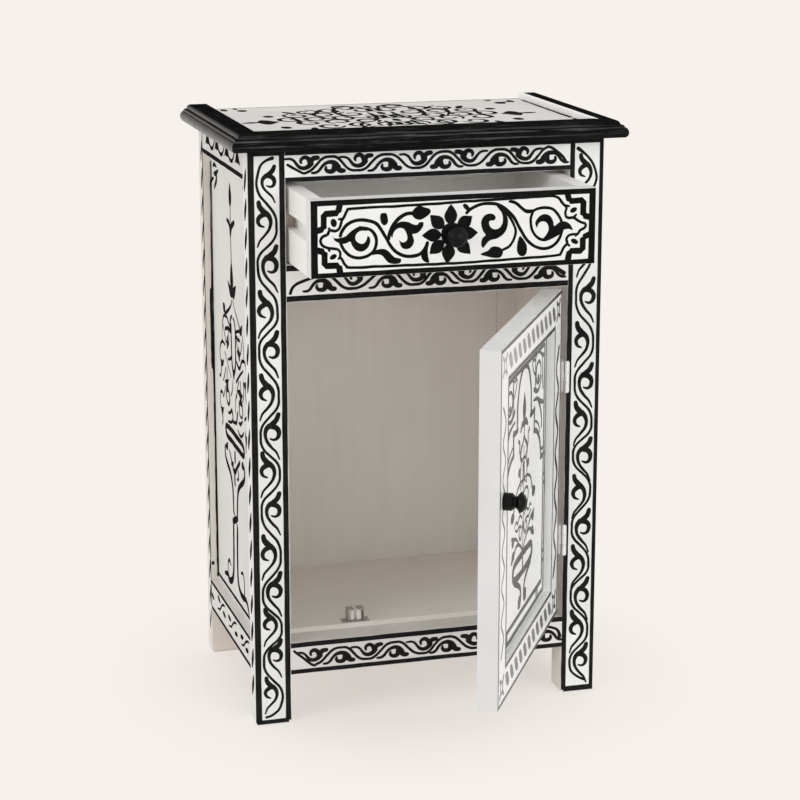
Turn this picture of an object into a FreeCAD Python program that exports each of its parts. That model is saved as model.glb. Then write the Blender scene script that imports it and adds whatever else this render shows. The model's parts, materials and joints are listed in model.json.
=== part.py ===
import FreeCAD, Part
import Sketcher
import math
import os
from enum import IntEnum
from types import SimpleNamespace

# Painted nightstand: a post-and-rail case with one drawer over one door, stored with the
# drawer pulled out and the door standing open. Millimetres, +Z up, the front faces -Y.
# The origin is on the floor, under the middle of the four posts.

SIZES = {
    # Case
    "case_width": 400.0,
    "case_depth": 266.0,
    "post_width": 39.0,
    "post_depth_front": 32.0,
    "post_depth_back": 22.0,
    "foot_chamfer": 2.0,
    # Heights, stacked from the floor up
    "leg_height": 56.5,
    "rail_bottom_height": 37.3,
    "door_opening_height": 388.7,
    "rail_middle_height": 40.5,
    "drawer_opening_height": 89.5,
    "rail_top_height": 35.5,
    "side_rail_thickness": 22.0,
    "back_rail_thickness": 18.0,
    # Mortise and tenon joints, panel grooves
    "tenon_length": 14.0,
    "tenon_short": 9.0,
    "tenon_thickness": 9.0,
    "tenon_shoulder": 6.0,
    "glue_gap": 0.1,
    "panel_thickness": 6.0,
    "panel_tongue": 4.5,
    "groove_depth": 5.0,
    "side_panel_recess": 9.0,
    "back_panel_recess": 12.0,
    # Floor of the cupboard and dust board under the drawer
    "floor_thickness": 12.0,
    "floor_rise": 5.0,
    "floor_cleat": 15.0,
    "dust_board_thickness": 6.0,
    "dust_board_rise": 14.0,
    "dust_cleat": 12.0,
    "board_gap": 0.4,
    # Top panel and its three mouldings
    "top_thickness": 12.0,
    "top_back_inset": 5.0,
    "moulding_height": 18.5,
    "moulding_flat": 19.0,
    "moulding_lap_side": 9.0,
    "moulding_lap_front": 12.0,
    "moulding_fillet": 1.0,
    "ovolo_radius": 4.5,
    "bead_radius": 3.0,
    "nose_radius": 7.0,
    # Drawer
    "drawer_pull": 91.5,
    "drawer_length": 225.0,
    "drawer_gap_side": 4.3,
    "drawer_gap_below": 2.0,
    "drawer_gap_above": 5.8,
    "drawer_front_thickness": 18.0,
    "drawer_side_thickness": 16.0,
    "drawer_back_thickness": 12.0,
    "drawer_back_drop": 6.0,
    "drawer_bottom_thickness": 5.0,
    "drawer_bottom_rise": 8.0,
    "runner_height": 16.0,
    "runner_rise": 45.0,
    "runner_groove_depth": 10.0,
    "runner_end_gap": 1.0,
    "running_clearance": 0.3,
    # Door
    "door_open": 59.0,
    "door_thickness": 22.0,
    "door_setback": 2.0,
    "door_gap_free": 2.0,
    "door_gap_above": 3.0,
    "door_gap_below": 6.0,
    "stile_width": 39.0,
    "door_rail_height": 39.0,
    "door_panel_recess": 8.5,
    # Butt hinges
    "hinge_gap": 2.7,
    "hinge_pin_forward": 4.5,
    "hinge_inset_top": 100.0,
    "hinge_inset_bottom": 88.0,
    "leaf_height": 34.0,
    "leaf_reach": 18.0,
    "leaf_thickness": 1.2,
    "knuckle_radius": 3.2,
    "knuckle_clearance": 0.3,
    "pin_radius": 1.5,
    "pin_fit": 0.05,
    "pin_head_radius": 2.6,
    "pin_head_height": 1.2,
    "leaf_screw_spacing": 19.0,
    "leaf_screw_setback": 11.0,
    # Small countersunk screws
    "screw_radius": 1.2,
    "screw_head_radius": 2.4,
    "screw_length": 9.0,
    "screw_fit": 0.05,
    # Twin-roller catch on the cupboard floor, and its strike on the door
    "catch_from_post": 85.5,
    "catch_setback": 8.5,
    "catch_length": 31.5,
    "catch_width": 12.0,
    "catch_plate": 1.2,
    "catch_screw_spacing": 25.6,
    "roller_radius": 3.4,
    "roller_height": 12.0,
    "roller_spacing": 8.8,
    "roller_side_gap": 0.6,
    "roller_end_gap": 0.4,
    "roller_pin_radius": 1.0,
    "strike_width": 20.0,
    "strike_height": 11.0,
    "strike_plate": 1.0,
    "strike_screw_spacing": 13.0,
    "tongue_thickness": 0.9,
    "tongue_height": 8.0,
    "tongue_past_rollers": 1.0,
    # Turned knobs
    "knob_base_radius": 9.1,
    "knob_base_length": 8.6,
    "knob_taper_length": 2.8,
    "knob_waist_radius": 6.4,
    "knob_cove_length": 2.2,
    "knob_cove_radius": 1.7,
    "knob_flare_length": 3.8,
    "knob_head_radius": 10.9,
    "knob_dome_height": 6.6,
    "knob_screw_radius": 2.0,
    "knob_screw_depth": 12.0,
    "knob_screw_head_radius": 4.0,
    "knob_screw_head_height": 2.5,
    "door_knob_rise": 30.0,
    "drawer_knob_aside": 2.5,
    "drawer_knob_drop": 1.8,
}


class Size:
    """A length or angle: its number, and the formula that ties it to the sheet."""

    def __init__(self, value, text):
        self.value = value
        self.text = text

    def __add__(self, other):
        other = as_size(other)
        return Size(self.value + other.value, f"({self.text} + {other.text})")

    def __sub__(self, other):
        other = as_size(other)
        return Size(self.value - other.value, f"({self.text} - {other.text})")

    def __mul__(self, other):
        other = as_size(other)
        return Size(self.value * other.value, f"({self.text} * {other.text})")

    def __truediv__(self, other):
        other = as_size(other)
        return Size(self.value / other.value, f"({self.text} / {other.text})")

    def __neg__(self):
        return Size(-self.value, f"(0 - {self.text})")


def as_size(number):
    if isinstance(number, Size):
        return number
    return Size(float(number), repr(float(number)))


def cosine(angle):
    return Size(math.cos(math.radians(angle.value)), f"cos({angle.text} * 1 deg)")


def sine(angle):
    return Size(math.sin(math.radians(angle.value)), f"sin({angle.text} * 1 deg)")


doc = FreeCAD.newDocument("nightstand")
sheet = doc.addObject("Spreadsheet::Sheet", "Sizes")
for row, (alias, number) in enumerate(SIZES.items(), start=1):
    sheet.set(f"A{row}", alias)
    sheet.set(f"B{row}", str(number))
    sheet.setAlias(f"B{row}", alias)
doc.recompute()
s = SimpleNamespace(**{alias: Size(number, f"Sizes.{alias}") for alias, number in SIZES.items()})

LEFT, RIGHT = -1, 1
SIDES = {"left": LEFT, "right": RIGHT}
nodes = {}


# Building blocks

def bind(item, field, size):
    """Tie one property of an object to the sheet."""
    item.setExpression(field, as_size(size).text)


def move(item, x, y, z):
    for axis, size in zip("xyz", (x, y, z)):
        bind(item, f"Placement.Base.{axis}", size)


def turn(item, angle):
    """Turn an object about the vertical by a bound angle, in degrees."""
    angle = as_size(angle)
    item.Placement = FreeCAD.Placement(
        item.Placement.Base, FreeCAD.Rotation(FreeCAD.Vector(0, 0, 1), angle.value)
    )
    item.setExpression("Placement.Rotation.Angle", f"{angle.text} * 1 deg")


def box(name, xs, ys, zs):
    """A block between two limits on each axis."""
    block = doc.addObject("Part::Box", name)
    lows = []
    for field, (low, high) in zip(("Length", "Width", "Height"), (xs, ys, zs)):
        bind(block, field, as_size(high) - low)
        lows.append(low)
    move(block, *lows)
    return block


def mirrored(side, inner, outer):
    """X limits of a piece that lies between two distances from the middle plane."""
    if side == RIGHT:
        return inner, outer
    return -as_size(outer), -as_size(inner)


AXIS_TURNS = {
    "x": FreeCAD.Rotation(FreeCAD.Vector(0, 1, 0), 90),
    "-x": FreeCAD.Rotation(FreeCAD.Vector(0, 1, 0), -90),
    "y": FreeCAD.Rotation(FreeCAD.Vector(1, 0, 0), -90),
    "-y": FreeCAD.Rotation(FreeCAD.Vector(1, 0, 0), 90),
    "z": FreeCAD.Rotation(),
    "-z": FreeCAD.Rotation(FreeCAD.Vector(1, 0, 0), 180),
}


def cylinder(name, base, axis, radius, length):
    rod = doc.addObject("Part::Cylinder", name)
    rod.Placement = FreeCAD.Placement(FreeCAD.Vector(), AXIS_TURNS[axis])
    bind(rod, "Radius", radius)
    bind(rod, "Height", length)
    move(rod, *base)
    return rod


def cone(name, base, axis, radius_near, radius_far, length):
    taper = doc.addObject("Part::Cone", name)
    taper.Placement = FreeCAD.Placement(FreeCAD.Vector(), AXIS_TURNS[axis])
    bind(taper, "Radius1", radius_near)
    bind(taper, "Radius2", radius_far)
    bind(taper, "Height", length)
    move(taper, *base)
    return taper


def group(name, pieces):
    bundle = doc.addObject("Part::Compound", name)
    bundle.Links = pieces
    return bundle


def fuse(name, pieces):
    joined = doc.addObject("Part::MultiFuse", name)
    joined.Shapes = pieces
    joined.Refine = True
    return joined


def cut(name, base, tools):
    remainder = doc.addObject("Part::Cut", name)
    remainder.Base = base
    remainder.Tool = tools[0] if len(tools) == 1 else group(f"{name}_cutters", tools)
    return remainder


def node(label, item, solids=1):
    """Name a finished sub-part, with the number of solids it has."""
    item.Label = label
    nodes[label] = (item, solids)
    return item


def plane(body, role):
    return next(feature for feature in body.Origin.OriginFeatures if feature.Role == role)


def sketch_on(body, name, role):
    sketch = body.newObject("Sketcher::SketchObject", name)
    sketch.AttachmentSupport = (plane(body, role), [""])
    sketch.MapMode = "FlatFace"
    return sketch


def arc_through(start, end, radius, turning):
    """The short arc between two points, turning left (1) or right (-1) on its way."""
    chord = end - start
    middle = (start + end) * 0.5
    left = FreeCAD.Vector(-chord.y, chord.x, 0).normalize()
    reach = math.sqrt(max(radius**2 - (chord.Length / 2) ** 2, 0.0))
    centre = middle + left * (reach * turning)
    angles = [math.atan2(point.y - centre.y, point.x - centre.x) for point in (start, end)]
    if turning < 0:
        angles.reverse()
    circle = Part.Circle(centre, FreeCAD.Vector(0, 0, 1), radius)
    return Part.ArcOfCircle(circle, angles[0], angles[1])


class End(IntEnum):
    """How a sketch counts the ends of an edge."""

    START = 1
    LAST = 2


class Axis(IntEnum):
    """How a sketch counts its own axes; its origin is the start of the horizontal one."""

    HORIZONTAL = -1
    VERTICAL = -2


def fix_point(sketch, edge, place, x, y):
    """Hold one end of a sketch edge at bound coordinates."""
    for kind, size, axis in (("DistanceX", x, Axis.VERTICAL), ("DistanceY", y, Axis.HORIZONTAL)):
        size = as_size(size)
        if size.value == 0:
            sketch.addConstraint(Sketcher.Constraint("PointOnObject", edge, place, axis))
        else:
            datum = Sketcher.Constraint(kind, Axis.HORIZONTAL, End.START, edge, place, size.value)
            index = sketch.addConstraint(datum)
            sketch.setExpression(f"Constraints[{index}]", size.text)


def outline(sketch, steps):
    """Draw a closed outline: each step is (x, y), or (x, y, radius, turning) for an arc to it."""
    points = [FreeCAD.Vector(as_size(step[0]).value, as_size(step[1]).value, 0) for step in steps]
    ends = []
    for number, step in enumerate(steps):
        start = points[number - 1]
        end = points[number]
        if len(step) == 2:
            edge = sketch.addGeometry(Part.LineSegment(start, end))
            ends.append((edge, End.START, End.LAST))
        else:
            radius = as_size(step[2])
            edge = sketch.addGeometry(arc_through(start, end, radius.value, step[3]))
            index = sketch.addConstraint(Sketcher.Constraint("Radius", edge, radius.value))
            sketch.setExpression(f"Constraints[{index}]", radius.text)
            both = (End.START, End.LAST) if step[3] > 0 else (End.LAST, End.START)
            ends.append((edge, *both))
    for number, step in enumerate(steps):
        edge, first, last = ends[number]
        following, next_first, next_last = ends[(number + 1) % len(steps)]
        sketch.addConstraint(Sketcher.Constraint("Coincident", edge, last, following, next_first))
        fix_point(sketch, edge, last, step[0], step[1])


# Shared places

half_width = s.case_width / 2
front = -s.case_depth / 2
back = s.case_depth / 2
opening_half = half_width - s.post_width
door_low = s.leg_height + s.rail_bottom_height
door_high = door_low + s.door_opening_height
drawer_low = door_high + s.rail_middle_height
drawer_high = drawer_low + s.drawer_opening_height
post_top = drawer_high + s.rail_top_height
frame_back = front + s.post_depth_front
back_post_front = back - s.post_depth_back
rail_inner = half_width - s.side_rail_thickness
back_panel_front = back - s.back_panel_recess - s.panel_thickness
side_panel_outer = half_width - s.side_panel_recess
side_panel_inner = side_panel_outer - s.panel_thickness
floor_top = door_low + s.floor_rise
floor_low = floor_top - s.floor_thickness
dust_low = door_high + s.dust_board_rise
dust_top = dust_low + s.dust_board_thickness
half_tenon = s.tenon_thickness / 2
half_mortise = half_tenon + s.glue_gap

# The bands of height that the rails fill
TOP_BAND = (drawer_high, post_top)
MIDDLE_BAND = (door_high, drawer_low)
BOTTOM_BAND = (s.leg_height, door_low)


def tenon_band(band):
    return band[0] + s.tenon_shoulder, band[1] - s.tenon_shoulder


def mortise_band(band):
    low, high = tenon_band(band)
    return low - s.glue_gap, high + s.glue_gap


def grown(low, high, amount):
    return low - amount, high + amount


# Holes for the screws, filled in by the sections that place the screws
post_holes = []
floor_holes = []

# Hinge pin and the places of the two hinges
pin_x = opening_half - s.hinge_gap / 2
pin_y = front - s.hinge_pin_forward
door_bottom = door_low + s.door_gap_below
door_top = door_high - s.door_gap_above
HINGES = {
    "upper": door_top - s.hinge_inset_top,
    "lower": door_bottom + s.hinge_inset_bottom,
}


def screw(name, head, axis, head_depth):
    """A countersunk screw whose flat head top is at a point, driven along an axis."""
    along = "xyz".index(axis[-1])
    sink = -head_depth if axis.startswith("-") else head_depth
    seat = list(head)
    seat[along] = as_size(head[along]) + sink
    top = cone(f"{name}_head", head, axis, s.screw_head_radius, s.screw_radius, head_depth)
    shank = cylinder(f"{name}_shank", seat, axis, s.screw_radius, s.screw_length)
    return fuse(name, [top, shank]), seat


def screw_sink(name, head, axis, head_depth):
    """The countersunk hole that a plate has for such a screw."""
    wide = s.screw_head_radius + s.screw_fit
    return cone(name, head, axis, wide, s.screw_radius + s.screw_fit, head_depth)


def screw_pilot(name, seat, axis):
    """The hole in the wood behind the plate."""
    return cylinder(name, seat, axis, s.screw_radius + s.screw_fit, s.screw_length + s.screw_fit)


# Hinge leaves on the right front post, with their pins and screws

def knuckle_bands(middle):
    """The three stacked knuckles of a hinge: lower, middle and upper band of height."""
    low = middle - s.leaf_height / 2
    third = s.leaf_height / 3
    half_gap = s.knuckle_clearance / 2
    return [
        (low, low + third - half_gap),
        (low + third + half_gap, low + third * 2 - half_gap),
        (low + third * 2 + half_gap, low + s.leaf_height),
    ]


def leaf_screw_heights(middle):
    return [middle - s.leaf_screw_spacing / 2, middle + s.leaf_screw_spacing / 2]


def hinge_leaf(name, axis_x, axis_y, plate_xs, middle, own_bands, other_bands, head_x, screw_axis):
    """A leaf with its knuckles, cleared for the other leaf's knuckles, bored for pin and screws."""
    low = middle - s.leaf_height / 2
    high = middle + s.leaf_height / 2
    plate_ys = (axis_y, axis_y + s.hinge_pin_forward + s.leaf_reach)
    plate = box(f"{name}_plate", plate_xs, plate_ys, (low, high))
    barrels = []
    for number, band in enumerate(own_bands):
        height = band[1] - band[0]
        base = (axis_x, axis_y, band[0])
        barrels.append(cylinder(f"{name}_barrel{number}", base, "z", s.knuckle_radius, height))
    tools = []
    reach = s.knuckle_radius + s.knuckle_clearance
    for number, band in enumerate(other_bands):
        cleared = grown(band[0], band[1], s.knuckle_clearance)
        notch_xs = grown(plate_xs[0], plate_xs[1], s.leaf_thickness)
        notch_ys = (axis_y - reach, axis_y + reach)
        tools.append(box(f"{name}_notch{number}", notch_xs, notch_ys, cleared))
    blank = cut(f"{name}_blank", plate, tools)
    bore = cylinder(f"{name}_bore", (axis_x, axis_y, low), "z", s.pin_radius + s.pin_fit, s.leaf_height)
    holes = [bore]
    screw_y = axis_y + s.hinge_pin_forward + s.leaf_screw_setback
    for number, height in enumerate(leaf_screw_heights(middle)):
        head = (head_x, screw_y, height)
        holes.append(screw_sink(f"{name}_sink{number}", head, screw_axis, s.leaf_thickness))
    return cut(name, fuse(f"{name}_joined", [blank] + barrels), holes)


post_leaf_xs = (opening_half - s.leaf_thickness, opening_half)
post_screws = []
for place, middle in HINGES.items():
    lower, centre, upper = knuckle_bands(middle)
    leaf = hinge_leaf(
        f"post_leaf_{place}", pin_x, pin_y, post_leaf_xs, middle,
        [lower, upper], [centre], post_leaf_xs[0], "x",
    )
    node(f"hinge_{place}_post_leaf", leaf)

    low = middle - s.leaf_height / 2
    shaft = cylinder(f"pin_{place}_shaft", (pin_x, pin_y, low), "z", s.pin_radius, s.leaf_height)
    heads = [
        cylinder(f"pin_{place}_cap", (pin_x, pin_y, low + s.leaf_height), "z",
                 s.pin_head_radius, s.pin_head_height),
        cylinder(f"pin_{place}_foot", (pin_x, pin_y, low), "-z",
                 s.pin_head_radius, s.pin_head_height),
    ]
    node(f"hinge_{place}_pin", fuse(f"pin_{place}", [shaft] + heads))

    for number, height in enumerate(leaf_screw_heights(middle)):
        head = (post_leaf_xs[0], front + s.leaf_screw_setback, height)
        name = f"post_screw_{place}{number}"
        fastener, seat = screw(name, head, "x", s.leaf_thickness)
        post_screws.append(fastener)
        post_holes.append(screw_pilot(f"{name}_pilot", seat, "x"))
node("hinge_post_screws", group("post_screws", post_screws), solids=len(post_screws))


# Twin-roller catch: bent bracket, two pins and two rollers, screwed to the cupboard floor

catch_x = -opening_half + s.catch_from_post
catch_y = frame_back + s.catch_setback
bracket_top = floor_top + s.catch_plate
roller_low = bracket_top + s.roller_end_gap
roller_middle = roller_low + s.roller_height / 2
flange_low = roller_low + s.roller_height + s.roller_end_gap
flange_top = flange_low + s.catch_plate
ear_inner = s.roller_spacing / 2 + s.roller_radius + s.roller_side_gap
ear_outer = ear_inner + s.catch_plate
catch_ys = grown(catch_y, catch_y, s.catch_width / 2)


def catch_xs(side, inner, outer):
    low, high = mirrored(side, inner, outer)
    return catch_x + low, catch_x + high


bracket_pieces = [
    box("bracket_base", grown(catch_x, catch_x, s.catch_length / 2), catch_ys, (floor_top, bracket_top)),
]
bracket_holes = []
roller_pins = []
catch_screws = []
for word, side in SIDES.items():
    ear_xs = catch_xs(side, ear_inner, ear_outer)
    bracket_pieces.append(box(f"bracket_ear_{word}", ear_xs, catch_ys, (bracket_top, flange_top)))
    flange_xs = catch_xs(side, s.roller_spacing / 4, ear_outer)
    bracket_pieces.append(box(f"bracket_flange_{word}", flange_xs, catch_ys, (flange_low, flange_top)))

    roller_x = catch_x + s.roller_spacing / 2 * side
    pin_length = flange_top - floor_top
    pin_base = (roller_x, catch_y, floor_top)
    roller_pins.append(cylinder(f"roller_pin_{word}", pin_base, "z", s.roller_pin_radius, pin_length))
    bore_radius = s.roller_pin_radius + s.pin_fit
    bracket_holes.append(cylinder(f"bracket_bore_{word}", pin_base, "z", bore_radius, pin_length))

    roller_base = (roller_x, catch_y, roller_low)
    drum = cylinder(f"roller_drum_{word}", roller_base, "z", s.roller_radius, s.roller_height)
    hole = cylinder(f"roller_bore_{word}", roller_base, "z", bore_radius, s.roller_height)
    node(f"catch_roller_{word}", cut(f"roller_{word}", drum, [hole]))

    head = (catch_x + s.catch_screw_spacing / 2 * side, catch_y, bracket_top)
    name = f"catch_screw_{word}"
    fastener, seat = screw(name, head, "-z", s.catch_plate)
    catch_screws.append(fastener)
    bracket_holes.append(screw_sink(f"{name}_sink", head, "-z", s.catch_plate))
    floor_holes.append(screw_pilot(f"{name}_pilot", seat, "-z"))

node("catch_bracket", cut("bracket", fuse("bracket_bent", bracket_pieces), bracket_holes))
node("catch_roller_pins", group("roller_pins", roller_pins), solids=len(roller_pins))
node("catch_screws", group("catch_screw_pair", catch_screws), solids=len(catch_screws))


# Corner posts, mortised for the rails and grooved for the panels

def post_blank(name, side, y_low, depth):
    """A square post with a small chamfer round its foot."""
    body = doc.addObject("PartDesign::Body", f"{name}_blank")
    sketch = sketch_on(body, f"{name}_section", "XY_Plane")
    outline(sketch, [(0, 0), (s.post_width, 0), (s.post_width, depth), (0, depth)])
    pad = body.newObject("PartDesign::Pad", f"{name}_length")
    pad.Profile = sketch
    bind(pad, "Length", post_top)
    doc.recompute()
    foot_edges = [
        f"Edge{number}"
        for number, edge in enumerate(pad.Shape.Edges, start=1)
        if edge.BoundBox.ZMax < s.foot_chamfer.value / 2
    ]
    chamfer = body.newObject("PartDesign::Chamfer", f"{name}_foot")
    chamfer.Base = (pad, foot_edges)
    bind(chamfer, "Size", s.foot_chamfer)
    body.Tip = chamfer
    x_low = mirrored(side, opening_half, half_width)[0]
    move(body, x_low, y_low, 0)
    return body


def across_mortise(name, side, y_middle, band):
    """A mortise in a post's inner face, for a rail that runs from side to side."""
    xs = mirrored(side, opening_half, opening_half + s.tenon_length + s.glue_gap)
    return box(name, xs, grown(y_middle, y_middle, half_mortise), mortise_band(band))


side_rail_middle = half_width - s.side_rail_thickness / 2
side_tenon_xs = grown(side_rail_middle, side_rail_middle, half_tenon)
side_mortise_xs = grown(side_rail_middle, side_rail_middle, half_mortise)
front_rail_middle = front + s.post_depth_front / 2
back_rail_middle = back - s.back_rail_thickness / 2
side_groove_xs = grown(side_panel_inner, side_panel_outer, s.glue_gap)
back_groove_ys = grown(back_panel_front, back_panel_front + s.panel_thickness, s.glue_gap)
panel_band = grown(door_low, drawer_high, s.groove_depth)

for word, side in SIDES.items():
    tools = []
    for spot, band in (("top", TOP_BAND), ("middle", MIDDLE_BAND), ("bottom", BOTTOM_BAND)):
        tools.append(across_mortise(f"front_mortise_{word}_{spot}", side, front_rail_middle, band))
    mortise_ys = (frame_back - s.tenon_short - s.glue_gap, frame_back)
    for spot, band in (("top", TOP_BAND), ("bottom", BOTTOM_BAND)):
        xs = mirrored(side, *side_mortise_xs)
        tools.append(box(f"front_side_mortise_{word}_{spot}", xs, mortise_ys, mortise_band(band)))
    groove_ys = (frame_back - s.groove_depth, frame_back)
    tools.append(box(f"front_groove_{word}", mirrored(side, *side_groove_xs), groove_ys, panel_band))
    if side == RIGHT:
        tools.extend(post_holes)
    blank = post_blank(f"post_front_{word}", side, front, s.post_depth_front)
    node(f"post_front_{word}", cut(f"front_post_{word}", blank, tools))

    tools = []
    for spot, band in (("top", TOP_BAND), ("bottom", BOTTOM_BAND)):
        tools.append(across_mortise(f"back_mortise_{word}_{spot}", side, back_rail_middle, band))
        xs = mirrored(side, *side_mortise_xs)
        ys = (back_post_front, back_post_front + s.tenon_short + s.glue_gap)
        tools.append(box(f"back_side_mortise_{word}_{spot}", xs, ys, mortise_band(band)))
    groove_ys = (back_post_front, back_post_front + s.groove_depth)
    tools.append(box(f"back_side_groove_{word}", mirrored(side, *side_groove_xs), groove_ys, panel_band))
    groove_xs = mirrored(side, opening_half, opening_half + s.groove_depth)
    tools.append(box(f"back_groove_{word}", groove_xs, back_groove_ys, panel_band))
    blank = post_blank(f"post_back_{word}", side, back_post_front, s.post_depth_back)
    node(f"post_back_{word}", cut(f"back_post_{word}", blank, tools))


# Rails with their tenons

def across_rail(name, ys, band):
    """A rail from side to side: its body between the posts and one long tenon bar."""
    middle = (ys[0] + ys[1]) / 2
    body = box(f"{name}_body", (-opening_half, opening_half), ys, band)
    reach = opening_half + s.tenon_length
    bar = box(f"{name}_tenons", (-reach, reach), grown(middle, middle, half_tenon), tenon_band(band))
    return fuse(f"{name}_joined", [body, bar])


front_rail_ys = (front, frame_back)
node("rail_front_top", across_rail("front_top", front_rail_ys, TOP_BAND))
node("rail_front_bottom", across_rail("front_bottom", front_rail_ys, BOTTOM_BAND))
dust_groove = box(
    "dust_groove", (-opening_half, opening_half), (frame_back - s.groove_depth, frame_back),
    grown(dust_low, dust_top, s.glue_gap),
)
middle_rail = across_rail("front_middle", front_rail_ys, MIDDLE_BAND)
node("rail_front_middle", cut("front_middle_rail", middle_rail, [dust_groove]))

back_rail_ys = (back - s.back_rail_thickness, back)
for spot, band, groove in (
    ("top", TOP_BAND, (drawer_high, drawer_high + s.groove_depth)),
    ("bottom", BOTTOM_BAND, (door_low - s.groove_depth, door_low)),
):
    rail = across_rail(f"back_{spot}", back_rail_ys, band)
    slot = box(f"back_{spot}_groove", (-opening_half, opening_half), back_groove_ys, groove)
    node(f"rail_back_{spot}", cut(f"back_{spot}_rail", rail, [slot]))

    for word, side in SIDES.items():
        name = f"side_{spot}_{word}"
        body_ys = (frame_back, back_post_front)
        body = box(f"{name}_body", mirrored(side, rail_inner, half_width), body_ys, band)
        bar_ys = grown(frame_back, back_post_front, s.tenon_short)
        bar = box(f"{name}_tenons", mirrored(side, *side_tenon_xs), bar_ys, tenon_band(band))
        rail = fuse(f"{name}_joined", [body, bar])
        slot = box(f"{name}_groove", mirrored(side, *side_groove_xs), body_ys, groove)
        node(f"rail_side_{spot}_{word}", cut(f"{name}_rail", rail, [slot]))


# Panels held in the grooves

panel_heights = grown(door_low, drawer_high, s.panel_tongue)
for word, side in SIDES.items():
    xs = mirrored(side, side_panel_inner, side_panel_outer)
    ys = grown(frame_back, back_post_front, s.panel_tongue)
    node(f"side_panel_{word}", box(f"panel_{word}", xs, ys, panel_heights))
back_xs = grown(-opening_half, opening_half, s.panel_tongue)
back_ys = (back_panel_front, back_panel_front + s.panel_thickness)
node("back_panel", box("panel_back", back_xs, back_ys, panel_heights))


# Cupboard floor and dust board, each on a pair of cleats

floor_half = rail_inner - s.board_gap
board = box("floor_blank", (-floor_half, floor_half), (frame_back, back_panel_front), (floor_low, floor_top))
notches = []
for word, side in SIDES.items():
    xs = mirrored(side, opening_half - s.board_gap, half_width)
    ys = (back_post_front - s.board_gap, back)
    notches.append(box(f"floor_notch_{word}", xs, ys, (floor_low, floor_top)))
node("floor_board", cut("floor", board, notches + floor_holes))

dust_half = opening_half - s.board_gap
dust_ys = (frame_back - s.panel_tongue, back_panel_front)
node("dust_board", box("dust", (-dust_half, dust_half), dust_ys, (dust_low, dust_top)))

for word, side in SIDES.items():
    xs = mirrored(side, rail_inner - s.floor_cleat, rail_inner)
    zs = (floor_low - s.floor_cleat, floor_low)
    node(f"floor_cleat_{word}", box(f"cleat_floor_{word}", xs, (frame_back, back_post_front), zs))
    xs = mirrored(side, opening_half - s.dust_cleat, opening_half)
    zs = (dust_low - s.dust_cleat, dust_low)
    node(f"dust_board_cleat_{word}", box(f"cleat_dust_{word}", xs, (frame_back, back_panel_front), zs))


# Top panel, framed by mitred mouldings on three sides

top_back = back - s.top_back_inset
top_half = half_width - s.moulding_lap_side
top_front = front + s.moulding_lap_front
node("top_panel", box(
    "top", (-top_half, top_half), (top_front, top_back), (post_top, post_top + s.top_thickness),
))

ovolo_foot = s.moulding_flat + s.ovolo_radius
bead_top = ovolo_foot + s.moulding_fillet
bead_foot = bead_top + s.bead_radius
nose_root = bead_foot + s.moulding_fillet
mitre_reach = nose_root + s.nose_radius


def moulding(name, start, length, mitres):
    """A moulding along X whose profile reaches out along +Y, mitred in plan at its front ends."""
    body = doc.addObject("PartDesign::Body", name)
    profile = sketch_on(body, f"{name}_profile", "YZ_Plane")
    bead_level = s.moulding_height - s.ovolo_radius
    nose_level = bead_level - s.bead_radius
    outline(profile, [
        (0, 0),
        (nose_root, 0),
        (nose_root, nose_level, s.nose_radius, 1),
        (bead_foot, nose_level),
        (bead_top, bead_level, s.bead_radius, 1),
        (ovolo_foot, bead_level),
        (s.moulding_flat, s.moulding_height, s.ovolo_radius, 1),
        (0, s.moulding_height),
    ])
    bind(profile, "AttachmentOffset.Base.z", start)
    run = body.newObject("PartDesign::Pad", f"{name}_run")
    run.Profile = profile
    bind(run, "Length", length)
    body.Tip = run
    doc.recompute()
    full = run.Shape.Volume
    for number, (corner, direction) in enumerate(mitres):
        plan = sketch_on(body, f"{name}_mitre{number}", "XY_Plane")
        far = mitre_reach * direction
        outline(plan, [(0, 0), (far, 0), (far, mitre_reach)])
        bind(plan, "AttachmentOffset.Base.x", corner)
        trim = body.newObject("PartDesign::Pocket", f"{name}_trim{number}")
        trim.Profile = plan
        trim.Type = "ThroughAll"
        trim.Reversed = True
        body.Tip = trim
        doc.recompute()
        if trim.Shape.Volume > full * 0.999:
            raise RuntimeError(f"{name}: the mitre cut nothing")
    return body


front_moulding = moulding(
    "moulding_front", -top_half - mitre_reach, (top_half + mitre_reach) * 2,
    [(top_half, 1), (-top_half, -1)],
)
turn(front_moulding, 180)
move(front_moulding, 0, top_front, post_top)
node("top_moulding_front", front_moulding)

side_run = top_back - top_front
left_moulding = moulding("moulding_left", -mitre_reach, side_run + mitre_reach, [(as_size(0), -1)])
turn(left_moulding, 90)
move(left_moulding, -top_half, top_front, post_top)
node("top_moulding_left", left_moulding)

right_moulding = moulding("moulding_right", -side_run, side_run + mitre_reach, [(as_size(0), 1)])
turn(right_moulding, -90)
move(right_moulding, top_half, top_front, post_top)
node("top_moulding_right", right_moulding)


# Turned knobs and the screws that hold them

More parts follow.
